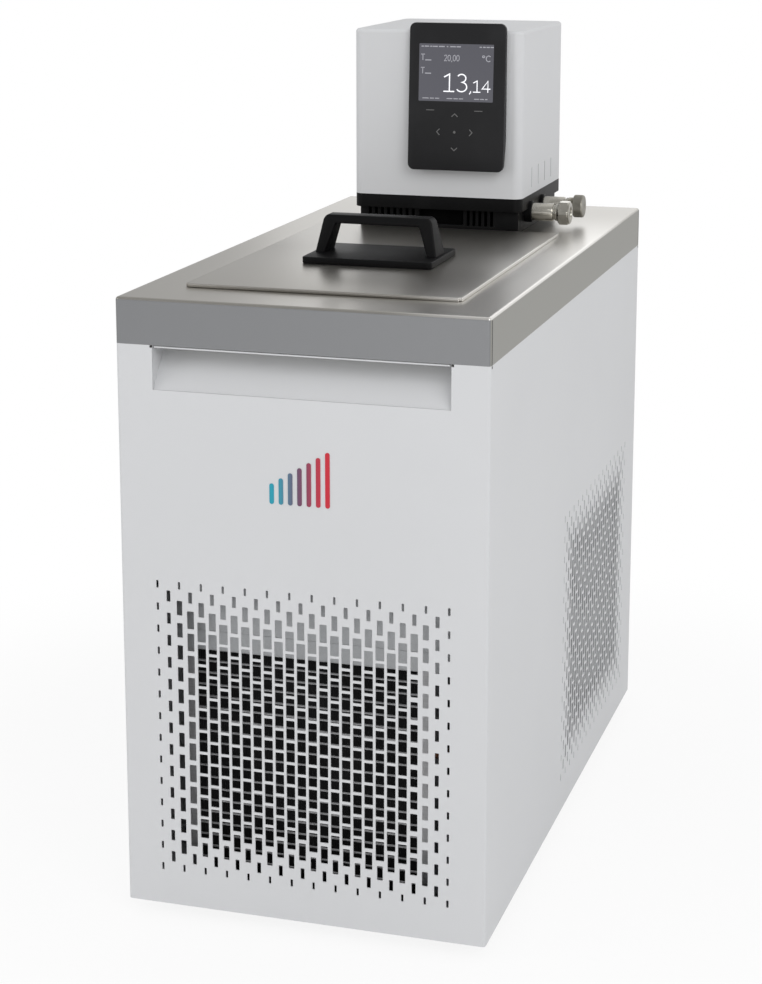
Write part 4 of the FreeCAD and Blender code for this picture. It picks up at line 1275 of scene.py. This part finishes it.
def arc(x: float, z: float, wide: float, high: float, start: float, end: float, steps: int = 14) -> Line:
    """Points of an elliptic arc.

    Args:
        x: Middle across.
        z: Middle height.
        wide: Half width.
        high: Half height.
        start: First angle in degrees, counter-clockwise from the right.
        end: Last angle.
        steps: Steps from one to the other.

    Returns:
        The points.
    """
    angles = [math.radians(start + (end - start) * step / steps) for step in range(steps + 1)]
    return [(x + wide * math.cos(angle), z + high * math.sin(angle)) for angle in angles]


@dataclass(frozen=True)
class Sign:
    """A figure drawn with lines; its height is 1."""

    width: float
    lines: tuple[Line, ...]


SIGNS = {
    "0": Sign(0.56, (arc(0.28, 0.5, 0.28, 0.5, 0, 360, 28),)),
    "1": Sign(0.58, ([(0.02, 0.83), (0.33, 1.0), (0.33, 0.0)], [(0.0, 0.0), (0.6, 0.0)])),
    "2": Sign(0.56, (arc(0.28, 0.73, 0.26, 0.27, 160, -35) + [(0.0, 0.0), (0.56, 0.0)],)),
    "3": Sign(0.58, (arc(0.26, 0.77, 0.25, 0.23, 145, -90) + arc(0.26, 0.27, 0.31, 0.27, 90, -145)[1:],)),
    "4": Sign(0.70, ([(0.70, 0.30), (0.0, 0.30), (0.50, 1.0), (0.50, 0.0)],)),
    ",": Sign(0.14, ([(0.12, 0.05), (0.10, -0.06), (0.0, -0.18)],)),
    "°": Sign(0.34, (arc(0.17, 0.84, 0.16, 0.16, 0, 360, 16),)),
    "C": Sign(0.60, (arc(0.34, 0.5, 0.34, 0.5, 48, 312),)),
    "T": Sign(0.60, ([(0.0, 1.0), (0.6, 1.0)], [(0.3, 1.0), (0.3, 0.0)])),
}


@dataclass
class ControlPanel:
    """The black panel on the head with its screen and key marks."""

    left: float = -24.0
    right: float = 63.5
    low: float = 559.0
    high: float = 688.5
    back: float = HEAD_FRONT
    top_depth: float = 5.0
    bottom_depth: float = 12.0
    chin_gap: float = 7.0
    chin_rise: float = 29.0
    corner: float = 5.5
    screen_middle: float = 19.1
    screen_top: float = 670.4
    screen_size: tuple[float, float] = (67.8, 50.3)
    screen_proud: float = 0.12
    screen_sunk: float = 0.8
    figure_gap: float = 0.2
    figure_proud: float = 0.2
    mark_proud: float = 0.16
    key_proud: float = 0.06
    mark_sunk: float = 0.05
    status_level: float = 668.0
    menu_level: float = 622.6
    label_levels: tuple[float, float] = (656.0, 644.4)
    key_middle: float = 18.6
    key_level: float = 593.1
    key_reach: float = 16.2
    arrow_half: float = 2.6
    arrow_tip: float = 2.4
    dash_level: float = 612.2
    dash_length: float = 7.0
    dash_starts: tuple[float, float] = (-7.4, 36.6)

    def face(self, height: float) -> float:
        """How far back the leaning face stands at a height."""
        share = (height - self.low) / (self.high - self.low)
        return self.back - self.bottom_depth + (self.bottom_depth - self.top_depth) * share

    def rear(self, height: float) -> float:
        """How far back the rear stands: the chin comes away from the head."""
        return self.back - self.chin_gap * max(0.0, 1.0 - (height - self.low) / self.chin_rise)

    def body(self) -> None:
        """The wedge-shaped moulding."""
        crease = self.low + self.chin_rise
        spots = []
        outline = rounded_outline(self.left, self.right, self.low, self.high, self.corner, 6)
        for (x, z), (_, after) in zip(outline, outline[1:] + outline[:1]):
            spots.append((x, z))
            if (z - crease) * (after - crease) < 0:
                spots.append((x, crease))
        count = len(spots)
        upper = [count + number for number, (_, z) in enumerate(spots) if z >= crease]
        lower = [count + number for number, (_, z) in enumerate(spots) if z <= crease]
        turn = next(number for number in range(1, len(lower)) if lower[number] != lower[number - 1] + 1)
        faces = [(number, (number + 1) % count, count + (number + 1) % count, count + number)
                 for number in range(count)]
        faces += [tuple(range(count)), tuple(upper), tuple(lower[turn:] + lower[:turn])]
        shape = Shape()
        shape.add([(x, self.face(z), z) for x, z in spots] + [(x, self.rear(z), z) for x, z in spots], faces)
        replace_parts(shape.piece("panel_moulding", PANEL, bevel=0.9, smooth=24.0), "control_panel")

    def stroke(self, shape: Shape, line: Line, width: float, proud: float) -> None:
        """Adds a line of even width on the leaning face.

        Args:
            shape: What it is added to.
            line: (x, z) points; a line that ends where it starts is closed.
            width: Its width.
            proud: How far it stands out.
        """
        closed = math.dist(line[0], line[-1]) < 1e-6
        spots = line[:-1] if closed else line
        last = len(spots) - 1
        points = []
        for number, (x, z) in enumerate(spots):
            before = spots[number - 1] if number or closed else spots[0]
            after = spots[(number + 1) % len(spots)] if number < last or closed else spots[-1]
            into = Vector((x - before[0], z - before[1])).normalized()
            out = Vector((after[0] - x, after[1] - z)).normalized()
            along = (into + out).normalized()
            mitre = width / 2 / max(0.5, along.dot(out if out.length else into))
            ahead = 0.0 if closed or 0 < number < last else math.copysign(width * 0.3, number - 0.5)
            for side, stand in ((1, proud), (-1, proud), (-1, -self.mark_sunk), (1, -self.mark_sunk)):
                across = x - along.y * side * mitre + along.x * ahead
                height = z + along.x * side * mitre + along.y * ahead
                points.append((across, self.face(height) - stand, height))
        shape.add(points, ring_faces(len(spots), 4, Ends.JOINED if closed else Ends.CAPPED))

    def figures(self, shape: Shape, text: str, span: tuple[float, float], base: float, size: float,
                width: float) -> None:
        """Adds lit figures on the screen.

        Args:
            shape: What they are added to.
            text: The figures.
            span: Their left and right ends.
            base: The line that they stand on.
            size: Their height.
            width: The width of their lines.
        """
        natural = sum(SIGNS[sign].width for sign in text) + self.figure_gap * (len(text) - 1)
        squeeze = (span[1] - span[0]) / natural
        across = span[0]
        for sign in text:
            for line in SIGNS[sign].lines:
                spots = [(across + x * squeeze, base + z * size) for x, z in line]
                self.stroke(shape, spots, width, self.figure_proud)
            across += (SIGNS[sign].width + self.figure_gap) * squeeze

    def dashes(self, shape: Shape, level: float, width: float, spans: Line) -> None:
        """Adds short strokes that stand for small lettering.

        Args:
            shape: What they are added to.
            level: Their height.
            width: The width of their lines.
            spans: The start and the length of each.
        """
        for start, length in spans:
            self.stroke(shape, [(start, level), (start + length, level)], width, self.mark_proud)

    def screen(self) -> None:
        """The lit screen, let into the face."""
        half = self.screen_size[0] / 2
        outline = rounded_outline(self.screen_middle - half, self.screen_middle + half,
                                  self.screen_top - self.screen_size[1], self.screen_top, 0.6, 3)
        shape = Shape()
        prism(shape, [(x, self.face(z) - self.screen_proud, z) for x, z in outline],
              [(x, self.face(z) + self.screen_sunk, z) for x, z in outline])
        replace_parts(shape.piece("screen_pane", SCREEN), "display_glass")

    def readings(self) -> None:
        """The temperatures, their unit and the small marks round them."""
        shape = Shape()
        self.figures(shape, "13", (8.2, 29.3), 628.9, 15.2, 1.05)
        self.figures(shape, ",14", (31.6, 50.4), 628.8, 9.8, 0.85)
        shape.piece("screen_readings", WHITE_MARK)
        dim = Shape()
        self.figures(dim, "20,00", (8.2, 21.8), 655.6, 5.0, 0.6)
        self.figures(dim, "°C", (42.8, 50.1), 655.6, 5.0, 0.75)
        for base in self.label_levels:
            self.figures(dim, "T", (-12.9, -9.9), base, 5.0, 0.7)
            self.dashes(dim, base, 0.9, [(-9.0, 1.4), (-7.1, 1.6), (-5.0, 1.0)])
        self.dashes(dim, self.status_level, 0.9, [
            (-12.6, 1.6), (-9.8, 3.6), (-4.6, 1.2), (-2.2, 4.0), (3.4, 4.6), (10.6, 0.8), (13.6, 4.6),
            (19.4, 3.4), (40.4, 1.4), (43.4, 1.8), (46.6, 2.4), (50.2, 2.4)])
        self.dashes(dim, self.menu_level, 0.8, [
            (-10.9, 5.2), (-4.2, 3.4), (0.6, 3.4), (11.3, 4.6), (17.4, 3.6), (22.4, 3.3), (36.2, 4.2),
            (41.8, 3.0), (46.2, 1.8)])
        dim.piece("screen_marks", DIM_MARK)

    def keys(self) -> None:
        """The printed marks of the touch keys: two dashes, four arrows and a dot."""
        keys = Shape()
        for x in self.dash_starts:
            dash = [(x, self.dash_level), (x + self.dash_length, self.dash_level)]
            self.stroke(keys, dash, 0.7, self.key_proud)
        centre, level, arm = self.key_middle, self.key_level, self.arrow_half
        for way in (-1, 1):
            tip, root = way * self.key_reach, way * (self.key_reach - self.arrow_tip)
            upright = [(centre - arm, level + root), (centre, level + tip), (centre + arm, level + root)]
            sideways = [(centre + root, level + arm), (centre + tip, level), (centre + root, level - arm)]
            for arrow in (upright, sideways):
                self.stroke(keys, arrow, 0.8, self.key_proud)
        self.stroke(keys, arc(centre, level, 0.6, 0.6, 0, 360, 12), 1.1, self.key_proud)
        keys.piece("key_marks", GREY_MARK)

    def build(self) -> None:
        """Builds the panel."""
        self.body()
        self.screen()
        self.readings()
        self.keys()


@dataclass
class HoseConnections:
    """The two hose connections beside the head."""

    wall: float = BRIDGE_HALF
    level: float = 518.5
    return_y: float = 418.0
    outlet_y: float = 464.0
    bush: float = 9.6
    bush_bore: float = 8.2
    bush_sunk: float = 4.2
    bush_end: float = 80.5
    pipe: float = 8.0
    pipe_end: float = 112.7
    thread_start: float = 103.6
    thread_pitch: float = 0.4
    thread_depth: float = 0.4
    thread_steps: int = 20
    nut_start: float = 104.0
    nut_end: float = 114.7
    flat: float = 10.0
    cap_start: float = 108.2
    cap_end: float = 117.2
    cap_radius: float = 10.3
    knurl: float = 0.25

    def stub(self, y: float, name: str, node: str) -> None:
        """A pipe with a groove and a shoulder before its thread.

        Args:
            y: Where it stands.
            name: The piece's name.
            node: The node that it stands for.
        """
        stations = [(self.wall, 7.7), (77.8, self.pipe), (98.6, self.pipe), (99.2, 7.7), (99.5, 6.6),
                    (101.0, 6.6), (101.2, 7.2), (101.5, 7.5), (103.2, 7.5), (103.5, 7.2)]
        for turn in range(self.thread_steps):
            stations.append((self.thread_start + self.thread_pitch * turn,
                             self.pipe - self.thread_depth * (turn % 2)))
        stations += [(112.0, self.pipe), (self.pipe_end, 7.4)]
        shape = Shape()
        turned(shape, (self.wall, y, self.level), Axis.X,
               [(along - self.wall, radius) for along, radius in stations], 56)
        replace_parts(shape.piece(name, NICKEL), node)

    def ring(self, x: float, y: float, radii: list[float]) -> list[Point]:
        """Points round a connection's axis.

        Args:
            x: Where the ring stands along the axis.
            y: Where the axis stands.
            radii: The distance of each point from the axis.

        Returns:
            The points.
        """
        turns = [2 * math.pi * step / len(radii) for step in range(len(radii))]
        return [(x, y + radius * math.sin(turn), self.level + radius * math.cos(turn))
                for turn, radius in zip(turns, radii)]

    def nut(self) -> None:
        """The hexagon nut with its chamfers and a washer face."""
        flat, pipe, steps, sixth = self.flat, self.pipe, 72, math.pi / 3
        corner = flat / math.cos(sixth / 2)
        length = self.nut_end - self.nut_start
        stations = [(0.0, pipe + 0.1), (0.0, flat - 0.5), (0.5, flat - 0.2), (0.9, flat + 0.4), (1.6, corner),
                    (length - 1.8, corner), (length - 1.0, flat + 0.3), (length - 0.9, flat - 0.5),
                    (length - 0.2, flat - 0.6), (length, flat - 1.0), (length, pipe - 2.4),
                    (length - 1.2, pipe - 3.0), (length - 1.2, 0.4)]
        turns = [(2 * math.pi * step / steps + sixth / 2) % sixth - sixth / 2 for step in range(steps)]
        sides = [flat / math.cos(turn) for turn in turns]
        points = []
        for along, limit in stations:
            radii = [min(limit, side) if limit > flat - 0.4 else limit for side in sides]
            points += self.ring(self.nut_start + along, self.return_y, radii)
        shape = Shape()
        shape.add(points, ring_faces(len(stations), steps))
        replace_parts(shape.piece("hexagon_nut", NICKEL, smooth=22.0), "return_nut")

    def cap(self) -> None:
        """The round cap nut with a fine straight knurl."""
        length, radius, steps = self.cap_end - self.cap_start, self.cap_radius, 120
        plain, knurled = [0.0] * steps, [self.knurl * (step % 2) for step in range(steps)]
        stations = [(0.0, self.pipe + 0.1, plain), (0.0, radius - 0.6, plain), (0.5, radius, plain),
                    (1.2, radius, plain), (1.3, radius, knurled), (length - 1.3, radius, knurled),
                    (length - 1.2, radius, plain), (length - 0.6, radius - 0.2, plain),
                    (length, radius - 1.0, plain), (length, 2.4, plain), (length - 0.4, 1.9, plain),
                    (length - 0.4, 0.3, plain)]
        points = []
        for along, limit, grooves in stations:
            points += self.ring(self.cap_start + along, self.outlet_y, [limit - groove for groove in grooves])
        shape = Shape()
        shape.add(points, ring_faces(len(stations), steps))
        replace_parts(shape.piece("cap_nut", DULL_NICKEL, smooth=22.0), "outlet_cap")

    def bushes(self) -> None:
        """The black bushes where the pipes come out of the bridge."""
        shape = Shape()
        end = self.bush_end - self.wall + self.bush_sunk
        profile = [(0.0, self.bush), (end - 0.6, self.bush), (end, self.bush - 0.6), (end, self.bush_bore),
                   (end - 2.0, self.bush_bore - 0.1)]
        for y in (self.return_y, self.outlet_y):
            turned(shape, (self.wall - self.bush_sunk, y, self.level), Axis.X, profile, 48)
        shape.piece("pipe_bushes", BLACK)

    def build(self) -> None:
        """Builds both connections."""
        self.bushes()
        self.stub(self.return_y, "return_stub", "return_connector")
        self.stub(self.outlet_y, "outlet_stub", "outlet_connector")
        self.nut()
        self.cap()


@dataclass
class RearScrews:
    """The button-head screws that hold the rear panel."""

    depth: float = DEPTH
    columns: tuple[float, float] = (-137.0, 137.0)
    rows: tuple[float, ...] = (24.0, 239.0, 454.0)
    profile: tuple[tuple[float, float], ...] = ((0.0, 3.5), (0.5, 3.5), (1.2, 3.2), (1.7, 2.6), (2.0, 1.7),
                                                (2.0, 1.4), (1.0, 1.3), (1.0, 0.1))

    def build(self) -> None:
        """The domed heads, each with a socket."""
        shape = Shape()
        for x in self.columns:
            for z in self.rows:
                turned(shape, (x, self.depth, z), Axis.Y, list(self.profile), 24)
        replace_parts(shape.piece("rear_screws", NICKEL, smooth=40.0), "panel_screws")


@dataclass
class CarriedNodes:
    """Finishes of the model's own solids that stay as they are."""

    finishes: dict[Finish, tuple[str, ...]] = field(default_factory=lambda: {
        HOUSING: ("base_tray", "grip_pocket", "rear_panel"),
        HEAD: ("head_cover",),
        DECK_TOP: ("deck",),
        TANK: ("bath_tank", "mounting_plate"),
        ZINC: ("corner_posts", "tank_shelf", "air_baffle", "condenser_frame", "fan_shroud",
               "fan_bracket"),
        BLACK: ("fan_rotor", "terminal_cover", "drain_knob", "mains_inlet", "switch_bezel",
                "mains_switch"),
        RUBBER: ("rubber_feet", "compressor_mounts"),
        ENAMEL: ("compressor",),
        MOTOR: ("fan_motor", "pump_motor"),
        COPPER: ("filter_drier", "discharge_line", "liquid_line", "feed_line", "suction_line"),
        NICKEL: ("evaporator_coil", "pump_shaft", "pump_housing", "pump_pipe", "return_pipe", "heater",
                 "temperature_probe", "float_guide", "drain_pipe", "drain_tap"),
        FOAM: ("tank_insulation",),
        BOARD: ("control_board", "power_board"),
        FLOAT: ("level_float",)})

    def build(self) -> None:
        """Gives each solid its material."""
        for finish, names in self.finishes.items():
            for name in names:
                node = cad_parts[name]
                node.data.materials.clear()
                node.data.materials.append(finish.material())
                log.info("%s: %s", name, finish.name)


@dataclass(frozen=True)
class SoftBox:
    """A rectangular lamp that faces a point, its places and size in metres of the frame."""

    name: str
    spot: Point
    target: Point
    size: tuple[float, float]
    power: float

    def hang(self) -> None:
        """Adds the lamp, turned to its target."""
        light = bpy.data.lights.new(self.name, "AREA")
        light.shape = "RECTANGLE"
        light.size, light.size_y = self.size
        light.energy = self.power
        thing = bpy.data.objects.new(self.name, light)
        bpy.context.scene.collection.objects.link(thing)
        thing.location = self.spot
        thing.rotation_euler = (Vector(self.target) - Vector(self.spot)).to_track_quat("-Z", "Y").to_euler()


LAMPS = (SoftBox("key_lamp", (1.5, -1.8, 1.9), (0.0, 0.0, 0.4), (1.4, 1.4), 17.0),
         SoftBox("left_lamp", (-2.0, -1.7, 1.3), (0.0, 0.0, 0.4), (1.2, 1.4), 7.5),
         SoftBox("low_lamp", (0.2, -2.6, 0.35), (0.0, 0.0, 0.5), (1.8, 0.6), 3.5),
         SoftBox("side_lamp", (2.4, 0.2, 1.1), (0.0, 0.0, 0.4), (1.0, 1.4), 3.0),
         SoftBox("rear_lamp", (-0.3, 2.9, 1.0), (0.1, 0.2, 0.5), (1.7, 1.2), 4.0))


@dataclass
class Studio:
    """Floor, surroundings, lamps and camera, with lengths in metres of the frame."""

    floor_half: float = 8.0
    floor_white: float = 0.88
    floor_fade: tuple[float, float] = (0.38, 0.75)
    floor_gloss: float = 0.3
    shine: float = 0.44
    shine_behind: float = 0.12
    shine_right: float = 0.34
    even_light: float = 0.72
    lens: float = 80.98
    spot: Point = (0.5269, -1.8220, 0.8057)
    yaw: float = 16.96
    pitch: float = 11.68
    shift: float = -0.15
    clip_end: float = 50.0

    def rays(self, graph: Graph) -> tuple[Signal, Signal]:
        """Tells rays apart.

        Args:
            graph: The graph of the floor or of the surroundings.

        Returns:
            1 for rays from the camera, and 1 for rays from shiny surfaces.
        """
        path = graph.node("ShaderNodeLightPath")
        camera, through, glossy = (Signal(graph, path.outputs[f"Is {kind} Ray"])
                                   for kind in ("Camera", "Transmission", "Glossy"))
        return camera.most(through), glossy

    def floor(self) -> None:
        """A wide pale floor that keeps the object's shadow."""
        mesh = bpy.data.meshes.new("floor")
        corners = rectangle(-self.floor_half, self.floor_half, -self.floor_half, self.floor_half)
        mesh.from_pydata([(x, y, 0.0) for x, y in corners], [], [(0, 1, 2, 3)])
        made = bpy.data.materials.new("pale_floor")
        made.use_nodes = True
        graph = Graph(made.node_tree)
        cloud = graph.noise(graph.place(), scale=3.0)
        tone = graph.mixed(cloud, (0.86, 0.86, 0.86, 1.0), (0.89, 0.89, 0.89, 1.0))
        matt = graph.node("ShaderNodeBsdfDiffuse", None, {"Color": tone})
        white = graph.node("ShaderNodeEmission", None, {"Color": WHITE, "Strength": 1.0})
        seen, glossy = self.rays(graph)
        away = graph.value("ShaderNodeVectorMath", {"operation": "LENGTH"}, {0: graph.place()}, "Value")
        share = self.floor_white + (1.0 - self.floor_white) * away.rise(*self.floor_fade)
        both = graph.node("ShaderNodeMixShader", None, {0: seen * share + glossy * self.floor_gloss,
                                                        1: matt.outputs[0], 2: white.outputs[0]})
        graph.node("ShaderNodeOutputMaterial", None, {"Surface": both.outputs[0]})
        mesh.materials.append(made)
        thing = bpy.data.objects.new("floor", mesh)
        bpy.context.scene.collection.objects.link(thing)

    def surroundings(self) -> None:
        """White for the camera, softly graded for reflections, even for the rest."""
        world = bpy.data.worlds.new("studio")
        bpy.context.scene.world = world
        world.use_nodes = True
        graph = Graph(world.node_tree)
        seen, glossy = self.rays(graph)
        toward = graph.value("ShaderNodeTexCoord", output="Generated")
        behind = graph.part(toward, Axis.Y).rise(-0.6, 0.6)
        aside = graph.part(toward, Axis.X).rise(-0.55, 0.1)
        shine = glossy * (self.shine + behind * (self.shine_behind + self.shine_right * aside))
        even = (1.0 - seen).least(1.0 - glossy) * self.even_light
        strength = seen.most(shine).most(even)
        light = graph.node("ShaderNodeBackground", None, {"Color": WHITE, "Strength": strength})
        graph.node("ShaderNodeOutputWorld", None, {"Surface": light.outputs[0]})

    def camera(self) -> None:
        """The camera at the object's front right, a little above it."""
        lens = bpy.data.cameras.new("camera")
        lens.lens = self.lens
        lens.shift_y = self.shift
        lens.clip_end = self.clip_end
        thing = bpy.data.objects.new("camera", lens)
        bpy.context.scene.collection.objects.link(thing)
        thing.location = self.spot
        thing.rotation_euler = (math.radians(90.0 - self.pitch), 0.0, math.radians(self.yaw))
        bpy.context.scene.camera = thing

    def build(self) -> None:
        """Sets up the studio."""
        bpy.context.scene.view_settings.view_transform = "Standard"
        self.floor()
        self.surroundings()
        for lamp in LAMPS:
            lamp.hang()
        self.camera()


def main() -> None:
    """Builds the object's looks piece by piece, and then the studio."""
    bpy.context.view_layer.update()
    for part in (CarriedNodes(), Housing(), Condenser(), Bridge(), Lid(), LidHandle(), ControlPanel(),
                 HoseConnections(), RearScrews(), Studio()):
        log.info("building %s", type(part).__name__)
        part.build()


if __name__ == "__main__":
    main()
